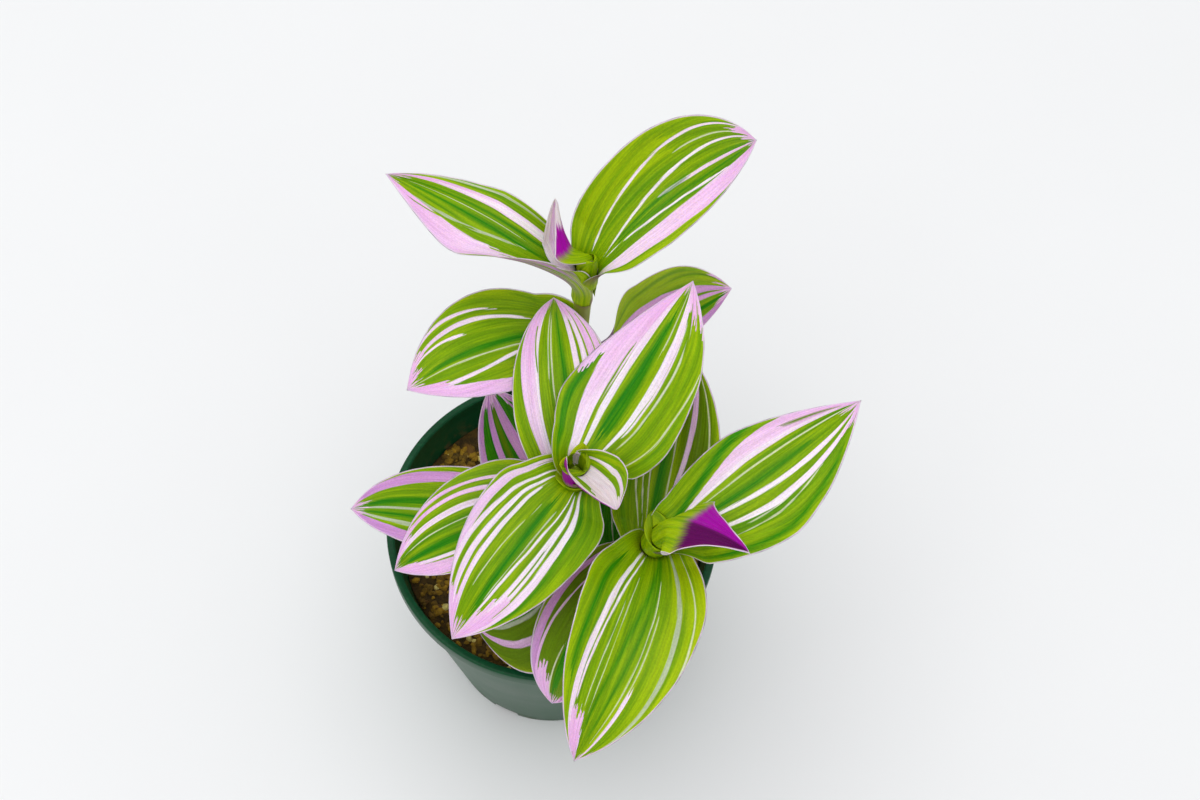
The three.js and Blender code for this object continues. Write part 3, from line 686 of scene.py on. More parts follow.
def notch_cutters(settings):
    """One body that cuts all the drain notches, each an arch through the foot of the wall."""
    width, height, depth = 9 * MM, 5 * MM, 7 * MM
    round_off, steps = 2 * MM, 4
    body = bmesh.new()
    for i in range(settings.notches):
        turn = Matrix.Rotation((i + 0.5) * math.tau / settings.notches, 4, "Z")
        outline = [(-width / 2, -height), (width / 2, -height)]
        for side in (1, -1):
            for step in range(steps + 1):
                angle = math.radians(90 * (step if side == 1 else steps - step) / steps)
                outline.append((side * (width / 2 - round_off + round_off * math.cos(angle)),
                                height - round_off + round_off * math.sin(angle)))
        ends = [[body.verts.new(turn @ Vector((settings.base_radius + reach, across, level)))
                 for across, level in outline] for reach in (-depth, depth)]
        body.faces.new(ends[0])
        body.faces.new(reversed(ends[1]))
        for j in range(len(outline)):
            k = (j + 1) % len(outline)
            body.faces.new((ends[0][j], ends[1][j], ends[1][k], ends[0][k]))
    return new_piece("drain_notches", outward_mesh("drain_notches", body))


def pot_material(settings):
    """Dark green plastic with fine moulding marks, and dried mix on its inside and foot."""
    material, tree, shader = new_material("nursery_pot_plastic")
    place = place_in(tree)
    x, y, z = parts(place)
    marks = noise(combined(tree, x * 30, y * 30, z * 900), 1.0, 3.0)
    mottle = noise(place, 60.0, 4.0)
    speck = noise(place, 900.0, 2.0)
    mid_wall = settings.base_radius - 0.4 * MM
    inside = ramp(from_axis(x, y) - z * WALL_SLOPE, mid_wall, mid_wall - 0.7 * MM)
    splash = 9 * MM
    near_mix = inside * ramp(z, SOIL_HIGH.z + splash, SOIL_HIGH.z - 3 * MM)
    foot = ramp(z, splash, 0.0) * 0.35
    dust = ramp(noise(place, 240.0, 5.0, 0.7), 0.47, 0.62) * clamped(near_mix * 0.9 + foot)
    worn = ramp(z, POT_HIGH.z - 1.1 * MM, POT_HIGH.z - 0.2 * MM) * ramp(speck, 0.45, 0.7)
    plain = linear(settings.colour)
    base = mixed(mottle, shaded(plain, 0.8), shaded(plain, 1.2))
    base = mixed(worn * 0.25, base, shaded(plain, 2.4))
    coat(shader, {
        "Base Color": mixed(dust * 0.75, base, linear(settings.dust)),
        "Roughness": clamped(0.30 + 0.12 * mottle + 0.45 * dust),
        "Specular IOR Level": 0.2,
        "Normal": bump(tree, marks * 0.6 + speck * 0.4 + dust * 2.0, 0.06 * MM, 0.6)})
    return material


class TRADESCANTIA_OT_pot(bpy.types.Operator):
    """Make the round nursery pot with its thicker lip and drain notches"""
    bl_idname = "tradescantia.pot"
    bl_label = "Pot"

    def execute(self, context):
        settings = context.scene.tradescantia_pot
        cutters = notch_cutters(settings)
        pot = new_piece("nursery_pot", turned("nursery_pot", pot_profile(settings), POT_SIDES))
        cut = pot.modifiers.new("Notches", "BOOLEAN")
        cut.operation, cut.solver, cut.object = "DIFFERENCE", "EXACT", cutters
        keep_result(pot)
        bpy.data.objects.remove(cutters)
        smooth(pot.data)
        pot.data.materials.clear()
        pot.data.materials.append(pot_material(settings))
        settle(pot, "pot_plastic", "pot")
        return {"FINISHED"}


# ---------------------------------------------------------------- potting mix

# The CAD model's mix rises by CAD_MOUND from the wall to its middle. The visual mix meets the wall
# MIX_RISE higher, as in the photograph, and rises by MOUND. Grains lie on what is above MIX_TOP.
CAD_MOUND, MOUND = 2.5 * MM, 1 * MM
MIX_RISE = 2.2 * MM
MIX_TOP = SOIL_HIGH.z - 0.25 * MM
MIX_RINGS, MIX_SIDES = 54, 150

# How far from the pot's axis a grain may reach, on the level of the pot's foot.
GRAIN_REACH = SOIL_HIGH.x + 0.5 * MM - SOIL_HIGH.z * WALL_SLOPE

# Each kind of loose grain: the settings that hold its number and its colour, its smallest and
# largest size in millimetres, its flatness and stretch, and its pattern's contrast and scale.
GRAINS = {
    "mix_crumbs": ("crumbs", "crumb", 1.0, 3.1, 0.85, 1.4, 0.8, 400.0),
    "bark_chips": ("chips", "bark", 2.4, 5.6, 0.40, 1.8, 0.6, 300.0),
    "perlite_grains": ("perlite", "grain", 1.3, 3.2, 0.9, 1.2, 0.3, 700.0),
}
SEED_STEP = 20


def mix_body():
    """The closed body of the potting mix, with a finely divided mound on top."""
    low, level = SOIL_LOW.z, SOIL_HIGH.z - CAD_MOUND + MIX_RISE
    edge = SOIL_HIGH.x + MIX_RISE * WALL_SLOPE
    profile = [(0, low), (edge - (level - low) * WALL_SLOPE, low), (edge, level)]
    for ring in range(1, MIX_RINGS + 1):
        share = 1 - ring / MIX_RINGS
        profile.append((edge * share, level + MOUND * (1 - share ** 2)))
    return turned("potting_mix", profile, MIX_SIDES)


def uneven_tree():
    """Raises and lowers the top of the potting mix, less and less towards the pot's wall."""
    tree, entry = new_tree("Uneven mix", "GeometryNodeTree", [
        ("Geometry", "Geometry", None), ("Height", "Float", 3 * MM), ("Top", "Float", 70 * MM),
        ("Edge", "Float", 47 * MM), ("Seed", "Float", 0.0), ("Material", "Material", None)])
    x, y, z = parts(place_in(tree))
    shifted = combined(tree, x, y, z + entry["Seed"])
    lumps = (noise(shifted, 90.0, 3.0) - 0.5) + (noise(shifted, 330.0, 3.0) - 0.5) * 0.6
    on_top = ramp(z, entry["Top"] - 1 * MM, entry["Top"])
    off_wall = ramp(from_axis(x, y), entry["Edge"], entry["Edge"] - 6 * MM)
    rise = lumps * entry["Height"] * on_top * off_wall
    lumpy = changed(tree, "SetPosition", entry["Geometry"], {
        "Offset": combined(tree, 0.0, 0.0, rise)})
    return finish_shape(tree, lumpy, entry["Material"])


def scatter_tree():
    """Strews broken grains over a body's top, half sunk in it and held inside the pot's wall."""
    tree, entry = new_tree("Strewn grains", "GeometryNodeTree", [
        ("Geometry", "Geometry", None), ("Density", "Float", 1000.0), ("Top", "Float", 70 * MM),
        ("Smallest", "Float", 1 * MM), ("Largest", "Float", 3 * MM), ("Flatness", "Float", 0.6),
        ("Stretch", "Float", 1.4), ("Sides", "Int", 8), ("Seed", "Int", 0),
        ("Reach", "Float", 34.4 * MM), ("Material", "Material", None)])
    place = place_in(tree)
    x, y, z = parts(place)
    points = changed(tree, "DistributePointsOnFaces", entry["Geometry"], {
        "Selection": z - entry["Top"], "Density": entry["Density"], "Seed": entry["Seed"]})
    ball = add_node(tree, "GeometryNodeMeshUVSphere", {
        "Radius": 0.5, "Segments": entry["Sides"], "Rings": 5})

    def random(low, high, offset, kind="FLOAT"):
        inputs = {"Min": low, "Max": high, "Seed": entry["Seed"] + offset}
        return out(add_node(tree, "FunctionNodeRandomValue", inputs, data_type=kind), "Value")

    size = random(entry["Smallest"], entry["Largest"], 1)
    scale = combined(tree, size * random(1.0, entry["Stretch"], 2), size * random(0.7, 1.0, 3),
                     size * entry["Flatness"] * random(0.7, 1.2, 4))
    tilt = random((-0.8, -0.8, 0.0), (0.8, 0.8, math.tau), 5, "FLOAT_VECTOR")
    strewn = changed(tree, "InstanceOnPoints", points, {
        "Instance": out(ball), "Rotation": tilt, "Scale": scale})
    tinted = changed(tree, "StoreNamedAttribute", strewn, {
        "Name": "tint", "Value": random(0.0, 1.0, 6)}, data_type="FLOAT", domain="INSTANCE")
    loose = changed(tree, "RealizeInstances", tinted)
    chipped = (noise(place, 420.0, 2.0) - 0.5) * entry["Largest"] * 0.9
    normal = out(add_node(tree, "GeometryNodeInputNormal"))
    broken = changed(tree, "SetPosition", loose, {"Offset": normal * chipped})
    pull = calculate("MINIMUM", (z * WALL_SLOPE + entry["Reach"]) / from_axis(x, y), 1.0)
    held = changed(tree, "SetPosition", broken, {
        "Position": combined(tree, x * pull, y * pull, z)})
    return finish_shape(tree, held, entry["Material"])


def mix_material(name, colour, contrast, roughness, scale):
    """Earth, bark or perlite: a mottled, matt, pitted surface, each grain with its own tint."""
    material, tree, shader = new_material(name)
    place = place_in(tree)
    tint = stored(tree, "tint")
    mottle = noise(place, scale, 5.0, 0.65)
    fine = noise(place, scale * 6, 3.0, 0.6)
    plain = linear(colour)
    share = clamped(ramp(mottle, 0.3, 0.72) * 0.4 + tint * 0.6 + (fine - 0.5) * 0.4)
    coat(shader, {
        "Base Color": mixed(share, shaded(plain, 1 - contrast), shaded(plain, 1 + contrast)),
        "Roughness": roughness,
        "Normal": bump(tree, mottle + fine * 0.5, 0.5 * MM, 0.9)})
    return material


class TRADESCANTIA_OT_mix(bpy.types.Operator):
    """Fill the pot with potting mix: peat, crumbs, bark chips and perlite"""
    bl_idname = "tradescantia.mix"
    bl_label = "Potting mix"

    def execute(self, context):
        settings = context.scene.tradescantia_soil
        mix = grown("potting_mix", uneven_tree(), {
            "Height": settings.roughness_height, "Top": MIX_TOP, "Edge": SOIL_HIGH.x + 0.4 * MM,
            "Seed": float(settings.seed),
            "Material": mix_material("peat", settings.peat, 0.75, 0.95, 420.0)}, mix_body())
        smooth(mix.data, 60)
        settle(mix, "potting_mix", "soil")
        tree = scatter_tree()
        for number, (name, row) in enumerate(GRAINS.items()):
            density, colour, small, large, flat, stretch, contrast, scale = row
            coating = mix_material(name, getattr(settings, colour), contrast, 0.9, scale)
            grain = grown(name, tree, {
                "Density": float(getattr(settings, density)), "Top": MIX_TOP,
                "Smallest": small * MM, "Largest": large * MM, "Flatness": flat,
                "Stretch": stretch, "Seed": settings.seed + SEED_STEP * number,
                "Reach": GRAIN_REACH, "Material": coating}, mix.data.copy())
            smooth(grain.data, 50)
            settle(grain, "potting_mix")
        return {"FINISHED"}


# ---------------------------------------------------------------- stems

# The steps along a stem, how far from a joint it is swollen and flushed, and over how much of its
# top it closes, both in millimetres.
STEM_STEPS = 150
JOINT_REACH = 1.7
TOP_REACH = 5.5


def stem_at(points, share):
    """The point and direction of a stem's centre line at a share of its spans."""
    points = [Vector(point) for point in points]
    spans = len(points) - 1
    span = min(int(share * spans), spans - 1)
    x = share * spans - span
    reach = [2 * points[0] - points[1], *points, 2 * points[-1] - points[-2]]
    before, start, end, after = reach[span:span + 4]
    leave, arrive = (end - before) / 2, (after - start) / 2
    square = 3 * (end - start) - 2 * leave - arrive
    cube = 2 * (start - end) + leave + arrive
    point = start + x * leave + x ** 2 * square + x ** 3 * cube
    return point, (leave + 2 * x * square + 3 * x ** 2 * cube).normalized()


def stem_at_height(points, height):
    """The point and direction of a stem's centre line at a height."""
    low, high = 0.0, 1.0
    for _ in range(40):
        middle = (low + high) / 2
        if stem_at(points, middle)[0].z < height:
            low = middle
        else:
            high = middle
    return stem_at(points, low)


def stem_path(name, points, joints):
    """A stem's centre line as a chain of vertices, each with how near a joint and the top are."""
    path = [stem_at(points, i / STEM_STEPS)[0] for i in range(STEM_STEPS + 1)]
    mesh = bpy.data.meshes.new(name)
    mesh.from_pydata([point * MM for point in path], [(i, i + 1) for i in range(STEM_STEPS)], [])
    near = mesh.attributes.new("joint", "FLOAT", "POINT")
    closing = mesh.attributes.new("closing", "FLOAT", "POINT")
    top = points[-1][2]
    for i, point in enumerate(path):
        near.data[i].value = max(
            math.exp(-((point.z - joint) / JOINT_REACH) ** 2) for joint in joints)
        below_top = min(max((top - point.z) / TOP_REACH, 0), 1)
        closing.data[i].value = max(below_top ** 0.8, 0.06)
    return mesh


def stem_tree():
    """Runs a round section along a stem's centre line, thicker at joints and closed at the top."""
    tree, entry = new_tree("Stem", "GeometryNodeTree", [
        ("Geometry", "Geometry", None), ("Radius", "Float", 2.5 * MM), ("Swelling", "Float", 0.1),
        ("Sides", "Int", 28), ("Material", "Material", None)])
    line = changed(tree, "MeshToCurve", entry["Geometry"])
    girth = (stored(tree, "joint") * entry["Swelling"] + 1) * stored(tree, "closing")
    ring = add_node(tree, "GeometryNodeCurvePrimitiveCircle", {
        "Resolution": entry["Sides"], "Radius": entry["Radius"]})
    skin = changed(tree, "CurveToMesh", line, {
        "Profile Curve": out(ring), "Scale": girth, "Fill Caps": True})
    ridges = (noise(place_in(tree) * (1.0, 1.0, 0.12), 900.0, 2.0) - 0.5) * 0.22 * MM
    normal = out(add_node(tree, "GeometryNodeInputNormal"))
    ridged = changed(tree, "SetPosition", skin, {"Offset": normal * ridges})
    even = changed(tree, "SetShadeSmooth", ridged)
    return finish_shape(tree, even, entry["Material"])


def stem_material(settings):
    """A juicy yellow-green stem, streaked lengthwise and flushed purple round its joints."""
    material, tree, shader = new_material("stem_skin")
    place = place_in(tree)
    streak = noise(place * (1.0, 1.0, 0.06), 1500.0, 3.0)
    patch = noise(place * (1.0, 1.0, 0.5), 110.0, 3.0)
    plain = linear(settings.colour)
    base = mixed(streak, shaded(plain, 0.7), shaded(plain, 1.25))
    flush = clamped(stored(tree, "joint") * 0.75 + ramp(patch, 0.5, 0.75) * 0.5)
    flush = flush * (0.5 + 0.5 * streak) * ramp(stored(tree, "closing"), 0.6, 1.0)
    coat(shader, {
        "Base Color": mixed(flush, base, linear(settings.flush)),
        "Roughness": clamped(0.38 + 0.2 * streak),
        "Normal": bump(tree, streak, 0.12 * MM, 0.6)})
    return material


class TRADESCANTIA_OT_stems(bpy.types.Operator):
    """Grow the three stems out of the potting mix, jointed where each leaf clasps them"""
    bl_idname = "tradescantia.stems"
    bl_label = "Stems"

    def execute(self, context):
        settings = context.scene.tradescantia_stem
        tree, material = stem_tree(), stem_material(settings)
        for place, points in STEMS.items():
            joints = [leaf["height"] for leaf in LEAVES.values() if leaf["stem"] == place]
            stem = grown(f"{place}_stem", tree, {
                "Radius": settings.radius, "Swelling": settings.swelling,
                "Material": material}, stem_path(place, points, joints))
            settle(stem, "stem", f"stem_{place}")
        return {"FINISHED"}


# ---------------------------------------------------------------- leaves

# The share of its length over which a leaf takes its roll, half its tip's width, the reach of its
# midrib's groove to each side and the number of pleats in each half.
ROLL_SHARE = 0.35
TIP_HALF_WIDTH = 0.14 * MM
GROOVE_REACH = 0.85 * MM
PLEAT_COUNT = 4.5

# Which of a leaf's values are angles, lengths and plain numbers, and which the settings give.
LEAF_ANGLES = ("heading", "swing", "rise", "droop", "roll", "cup", "closure")
LEAF_LENGTHS = ("length", "width", "flare_end", "sheath", "wrap", "bend_end")
LEAF_NUMBERS = ("widest_at", "fall", "skew", "fold", "corner")
LEAF_RELIEF = ("thickness", "midrib", "pleats", "waves")
LEAF_INPUTS = [
    ("Base", "Vector", None), ("Stem", "Vector", None), ("Heading", "Float", 0.0),
    ("Swing", "Float", 0.0), ("Rise", "Float", 0.0), ("Droop", "Float", 0.0),
    ("Roll", "Float", 0.0), ("Length", "Float", 60 * MM), ("Width", "Float", 30 * MM),
    ("Cup", "Float", 0.4), ("Flare End", "Float", 10 * MM), ("Widest At", "Float", 0.34),
    ("Fall", "Float", 2.0), ("Skew", "Float", 0.0), ("Thickness", "Float", 0.5 * MM),
    ("Midrib", "Float", 0.4 * MM), ("Pleats", "Float", 0.1 * MM), ("Waves", "Float", 0.7 * MM),
    ("Sheath", "Float", 3 * MM), ("Closure", "Float", 2.6), ("Bend End", "Float", 9 * MM),
    ("Fold", "Float", 0.0), ("Corner", "Float", 0.0), ("Wrap", "Float", 3.3 * MM),
    ("Rows", "Int", 130), ("Columns", "Int", 45), ("Seed", "Float", 0.0),
    ("Material", "Material", None),
]


def leaf_directions(tree, leaf, share):
    """A leaf's directions at a share of its length: along, across to its left, out of its face."""
    heading = leaf["Heading"] + leaf["Swing"] * share
    rise = leaf["Rise"] - leaf["Droop"] * share
    distance = leaf["Length"] * share
    cosine, sine = calculate("COSINE", heading), calculate("SINE", heading)
    level = calculate("COSINE", rise)
    blade = combined(tree, cosine * level, sine * level, calculate("SINE", rise))
    bend = ramp(distance, leaf["Sheath"], leaf["Bend End"])
    along = calculate("NORMALIZE", leaf["Stem"] * (1.0 - bend) + blade * bend)
    level_across = combined(tree, sine * -1.0, cosine, 0.0)
    leaning = calculate("DOT_PRODUCT", level_across, along)
    across = calculate("NORMALIZE", level_across - along * leaning)
    roll_end = leaf["Length"] * ROLL_SHARE + leaf["Sheath"]
    roll = leaf["Roll"] * ramp(distance, leaf["Sheath"], roll_end)
    tipped = add_node(tree, "ShaderNodeVectorRotate", {
        "Vector": across, "Axis": along, "Angle": roll}, rotation_type="AXIS_ANGLE")
    across = out(tipped)
    return along, across, calculate("CROSS_PRODUCT", along, across)


def leaf_section(leaf, share):
    """Half a leaf's width along its curve, the curve's half angle, and how far it has opened."""
    distance = leaf["Length"] * share
    sheath_share = leaf["Sheath"] / leaf["Length"]
    sheath_half = leaf["Closure"] * leaf["Wrap"]
    widest = leaf["Widest At"]
    rising = clamped((share - sheath_share) / (widest - sheath_share))
    to_tip = clamped((share - widest) / (1.0 - widest))
    full = leaf["Width"] / 2
    widening = calculate("SINE", rising * math.pi / 2)
    widening = widening + (rising - widening) * leaf["Corner"]
    swell = sheath_half + (full - sheath_half) * widening
    narrowing = full * (1.0 - to_tip ** leaf["Fall"])
    before = calculate("LESS_THAN", share, widest)
    half = calculate("MAXIMUM", before * swell + (1.0 - before) * narrowing, TIP_HALF_WIDTH)
    opened = ramp(distance, leaf["Sheath"], leaf["Flare End"])
    angle = leaf["Cup"] * (1.0 - 0.5 * to_tip)
    angle = angle + (leaf["Closure"] - leaf["Cup"]) * (1.0 - opened)
    return half, angle, opened


def leaf_relief(tree, leaf, share, side, half, opened):
    """How far a leaf's sheet stands out: midrib groove, lengthwise pleats and waving margins."""
    outer = magnitude(side)
    from_midrib = outer * half / GROOVE_REACH
    blade = opened * ramp(share, 1.0, 0.9)
    groove = calculate("EXPONENT", from_midrib * from_midrib * -1.0) * leaf["Midrib"] * -1.0
    ripple = calculate("COSINE", outer * (math.tau * PLEAT_COUNT))
    pleats = ripple * leaf["Pleats"] * ramp(outer, 1.0, 0.8)
    place = combined(tree, share * 5.0, side * 1.3, leaf["Seed"])
    margin = (noise(place, 1.0, 1.0) - 0.5) * 2.0 * ramp(outer, 0.3, 1.0)
    broad = noise(combined(tree, share * 2.4, side * 1.2, leaf["Seed"] + 9.0), 1.0, 1.0) - 0.5
    return (groove + pleats + (margin + broad * 0.8) * leaf["Waves"]) * blade


def leaf_tree():
    """A leaf as one closed body, its upper and lower sheet meeting in a thin margin."""
    tree, leaf = new_tree("Leaf", "GeometryNodeTree", LEAF_INPUTS)
    rows, columns = leaf["Rows"], leaf["Columns"]
    sheet = add_node(tree, "GeometryNodeMeshGrid", {"Vertices X": columns, "Vertices Y": rows})
    both = add_node(tree, "GeometryNodeJoinGeometry")
    put(both.inputs[0], out(sheet))
    put(both.inputs[0], changed(tree, "Transform", out(sheet)))

    index = out(add_node(tree, "GeometryNodeInputIndex"))
    line = calculate("FLOOR", (index + 0.5) / rows)
    row = index - line * rows
    lower = calculate("GREATER_THAN", line, columns - 0.5)
    share = row / (rows - 1.0)
    side = (line - lower * columns) / (columns - 1.0) * 2.0 - 1.0

    step = leaf["Length"] / (rows - 1.0)
    halfway, _, _ = leaf_directions(tree, leaf, (row + 0.5) / (rows - 1.0))
    walked = add_node(tree, "GeometryNodeAccumulateField", {
        "Value": halfway * step, "Group ID": line}, data_type="FLOAT_VECTOR")
    _, across, face = leaf_directions(tree, leaf, share)
    _, _, first_face = leaf_directions(tree, leaf, row * 0.0)
    centre = leaf["Base"] - first_face * leaf["Wrap"] + out(walked, "Trailing")

    half, angle, opened = leaf_section(leaf, share)
    sign = calculate("SIGN", side)
    wider = 1.0 + leaf["Skew"] * opened * sign
    turn = angle * side * wider
    cosine, sine = calculate("COSINE", turn), calculate("SINE", turn)
    radius = half / angle
    curved = across * (radius * sine) + face * (radius * (1.0 - cosine))
    lean_cosine, lean_sine = calculate("COSINE", angle / 2), calculate("SINE", angle / 2)
    reach = half * magnitude(side) * wider
    folded = across * (reach * lean_cosine * sign) + face * (reach * lean_sine)
    fold = leaf["Fold"] * opened
    middle = centre + curved * (1.0 - fold) + folded * fold
    curved_normal = face * cosine - across * sine
    folded_normal = face * lean_cosine - across * (lean_sine * sign)
    normal = calculate("NORMALIZE", curved_normal * (1.0 - fold) + folded_normal * fold)
    ends = ramp(share, 0.0, 0.015) * ramp(share, 1.0, 0.97)
    thickness = leaf["Thickness"] * (1.0 - magnitude(side) ** 4.0) * ends
    relief = leaf_relief(tree, leaf, share, side, half, opened)
    place = middle + normal * (relief + (0.5 - lower) * thickness)

    def store(geometry, name, value, domain, kind):
        inputs = {"Name": name, "Value": value}
        return changed(tree, "StoreNamedAttribute", geometry, inputs, domain=domain, data_type=kind)

    edge = (1.0 - magnitude(side)) * half / MM
    marked = store(out(both), "layout", combined(tree, side * 0.5 + 0.5, share, lower), "POINT",
                   "FLOAT_VECTOR")
    marked = store(marked, "edge", edge, "POINT", "FLOAT")
    shaped = changed(tree, "SetPosition", marked, {"Position": place})
    layout = stored(tree, "layout", "FLOAT_VECTOR")
    _, _, below = parts(layout)
    mapped = store(shaped, "UVMap", layout, "CORNER", "FLOAT2")
    sided = store(mapped, "underside", below, "FACE", "FLOAT")
    faced = changed(tree, "FlipFaces", sided, {"Selection": calculate("LESS_THAN", below, 0.5)})
    joined = changed(tree, "MergeByDistance", faced, {"Distance": 1e-7})
    even = changed(tree, "SetShadeSmooth", joined)
    return finish_shape(tree, even, leaf["Material"])


# The veins across a leaf, how far a stripe's ragged ends reach as a share of its length, the
# stripes whose sides blend into the green, and how wide a soft and a crisp side are.
VEINS = 84
COMB = 0.10
SOFT_KINDS = {"dark", "yellow", "olive"}
SOFT_SIDE, CRISP_SIDE = 0.045, 0.007

# What the leaves' grain group gives.
GRAIN_RESULTS = ("Across", "Along", "Ragged", "Streak", "Broad", "Deep", "Cells", "Ribs")
TONES = ("green", "dark", "yellow", "olive", "white", "lilac", "mauve", "shaded_pink", "magenta",
         "purple")


def grain_group():
    """The lengthwise veins that every leaf's stripes follow and its comb of ragged ends."""
    tree, entry = new_tree("Leaf grain", "ShaderNodeTree", [("Seed", "Float", 0.0)])
    seed = entry["Seed"]
    across, along, _ = parts(out(add_node(tree, "ShaderNodeUVMap", uv_map="UVMap")))
    wander = noise(combined(tree, across * 3.0, along * 2.4, seed), 1.0, 2.0) - 0.5
    vein_place = 0.5 + (across - 0.5) * (1.4 - 0.7 * along) + wander * 0.02
    vein = calculate("FLOOR", vein_place * VEINS)
    bundle = calculate("FLOOR", vein_place * (VEINS / 3) + 0.4)
    comb = (static(vein + seed * 31.0) - 0.5) * 0.6 + static(bundle + seed * 23.0) - 0.5
    jog = noise(combined(tree, vein * 7.31, along * 5.0, seed), 1.0, 1.0) - 0.5
    drift = noise(combined(tree, across * 7.0, along * 1.5, seed + 5.0), 1.0, 2.0) - 0.5
    ragged = along + comb * COMB + drift * 0.10
    streak = noise(combined(tree, vein_place * 62.0, along * 3.5, seed + 2.0), 1.0, 3.0, 0.65)
    broad = noise(combined(tree, vein_place * 17.0, along * 1.8, seed + 3.0), 1.0, 3.0)
    deep = noise(combined(tree, vein_place * 9.0, along * 1.3, seed + 7.0), 1.0, 2.0)
    cells = noise(combined(tree, vein_place * 95.0, along * 120.0, seed), 1.0, 2.0)
    ribs = calculate("COSINE", vein_place * (math.tau * VEINS / 3))
    across = across + wander * 0.03 + jog * 0.02
    fields = (across, along, ragged, streak, broad, deep, cells, ribs)
    finish_tree(tree, [(name, "Float", field) for name, field in zip(GRAIN_RESULTS, fields)])
    return tree


def stripe_group():
    """Lays one stripe over a leaf's colour, with tapering ends that follow the ragged veins."""
    tree, entry = new_tree("Leaf stripe", "ShaderNodeTree", [
        ("Under", "Color", None), ("Colour", "Color", None), ("Across", "Float", 0.0),
        ("Along", "Float", 0.0), ("Ragged", "Float", 0.0), ("Near Place", "Float", 0.5),
        ("Far Place", "Float", 0.5), ("Near Width", "Float", 0.1), ("Far Width", "Float", 0.1),
        ("Start", "Float", 0.0), ("End", "Float", 1.0), ("Soft", "Float", CRISP_SIDE)])
    way = (entry["Along"] - 0.2) / 0.6
    centre = entry["Near Place"] + (entry["Far Place"] - entry["Near Place"]) * way
    width = entry["Near Width"] + (entry["Far Width"] - entry["Near Width"]) * way
    half = calculate("MAXIMUM", width, 0.008) / 2
    begun = clamped((entry["Ragged"] - entry["Start"]) / 0.05)
    ended = clamped((entry["End"] + 0.04 - entry["Ragged"]) / 0.04)
    shown = begun * ended
    inside = half * calculate("SQRT", shown) - magnitude(entry["Across"] - centre)
    cover = clamped(inside / entry["Soft"] + 0.5) * clamped(shown * 6.0)
    finish_tree(tree, [("Colour", "Color", mixed(cover, entry["Under"], entry["Colour"]))])
    return tree


def leaf_material(name, leaf, seed, settings, grain, stripe):
    """A variegated leaf: its ground colour, its own stripes, a pale tip and a thin pale margin."""
    material, tree, shader = new_material(name)
    veins = group(tree, grain, {"Seed": seed})
    fields = [out(veins, name) for name in GRAIN_RESULTS]
    across, along, ragged, streak, broad, deep, cells, ribs = fields
    tone = {key: linear(getattr(settings, key)) for key in TONES}
    outer = magnitude(across - 0.5) * 2.0
    pinkness = clamped(outer * 0.55 + (along - 0.35) * 0.8 + (broad - 0.5) * 0.8)
    lime = clamped(ramp(broad, 0.36, 0.66) * 0.6 + (streak - 0.5) * 1.2)
    plain = mixed(lime, tone["green"], tone["yellow"])
    plain = mixed(ramp(deep, 0.5, 0.72) * 0.5, plain, tone["dark"])
    palette = {
        "green": plain,
        "dark": mixed(clamped((streak - 0.4) * 1.2), tone["dark"], tone["green"]),
        "yellow": mixed(ramp(broad, 0.3, 0.6), tone["green"], tone["yellow"]),
        "olive": mixed(broad, tone["olive"], tone["green"]),
        "white": mixed(pinkness * 0.7, tone["white"], tone["lilac"]),
        "lilac": mixed(clamped(pinkness + 0.25), tone["white"], tone["lilac"]),
        "mauve": mixed(clamped(pinkness), tone["lilac"], tone["mauve"]),
        # Painted shade in part: the youngest leaves' pink, greyed for the shade that lies inside
        # them.
        "shaded_pink": mixed(clamped(broad * 1.2), tone["shaded_pink"], tone["white"]),
        "grey": mixed(0.45 + 0.3 * broad, tone["white"], tone["green"]),
        "fine": mixed(0.3 + 0.4 * broad, tone["white"], tone["yellow"]),
    }
    colour = palette[leaf["ground"]]
    for kind, *places in leaf["stripes"]:
        near, far, near_width, far_width, start, end = (percent / 100 for percent in places)
        colour = out(group(tree, stripe, {
            "Under": colour, "Colour": palette[kind], "Across": across, "Along": along,
            "Ragged": ragged, "Near Place": near, "Far Place": far, "Near Width": near_width,
            "Far Width": far_width, "Start": start, "End": end,
            "Soft": SOFT_SIDE if kind in SOFT_KINDS else CRISP_SIDE}))
    tip = ramp(ragged, leaf["tip"], leaf["tip"] + 0.02)
    colour = mixed(tip, colour, palette["lilac"])
    colour = mixed(ramp(along, 0.13, 0.03) * 0.85, colour, palette["yellow"])
    under = tone[leaf["under"]]
    dim = tuple(0.65 * a + 0.35 * b for a, b in zip(under, tone["purple"]))
    flush = mixed(clamped(broad * 1.4), dim, under)
    # Painted shade: left of the midrib the underside may take a darker colour, for its shaded half.
    flush = mixed(ramp(across, 0.47, 0.53), flush, tone[leaf["under_left_shade"] or leaf["under"]])
    flush = mixed(ramp(ragged, leaf["fade"], leaf["fade"] + 0.1), flush, colour)
    clasp = ramp(along + (streak - 0.5) * 0.12, leaf["clasp"], leaf["clasp"] - 0.12)
    through = ramp(streak, 0.60 - leaf["through"] * 0.3, 0.75 - leaf["through"] * 0.3)
    flush = mixed(through * min(leaf["through"] * 2, 1), flush, colour)
    flush = mixed(clasp, flush, palette["yellow"])
    colour = mixed(clamped(stored(tree, "underside")), colour, flush)
    rim = ramp(stored(tree, "edge"), 0.46, 0.24) * ramp(along, 0.04, 0.16)
    colour = mixed(rim, colour, palette[leaf["margin"]])
    shade = 1.0 + (ramp(streak, 0.3, 0.7) - 0.5) * 0.22 + (ramp(cells, 0.3, 0.7) - 0.5) * 0.16
    coat(shader, {
        "Base Color": colour * shade,
        "Roughness": clamped(0.36 + 0.22 * streak),
        "Specular IOR Level": 0.10,
        "Subsurface Weight": 0.3,
        "Subsurface Radius": (1.0, 1.0, 0.4),
        "Subsurface Scale": 1.2 * MM,
        "Normal": bump(tree, streak * 0.6 + cells * 0.35 + ribs * 0.25, 0.10 * MM, 0.8)})
    return material


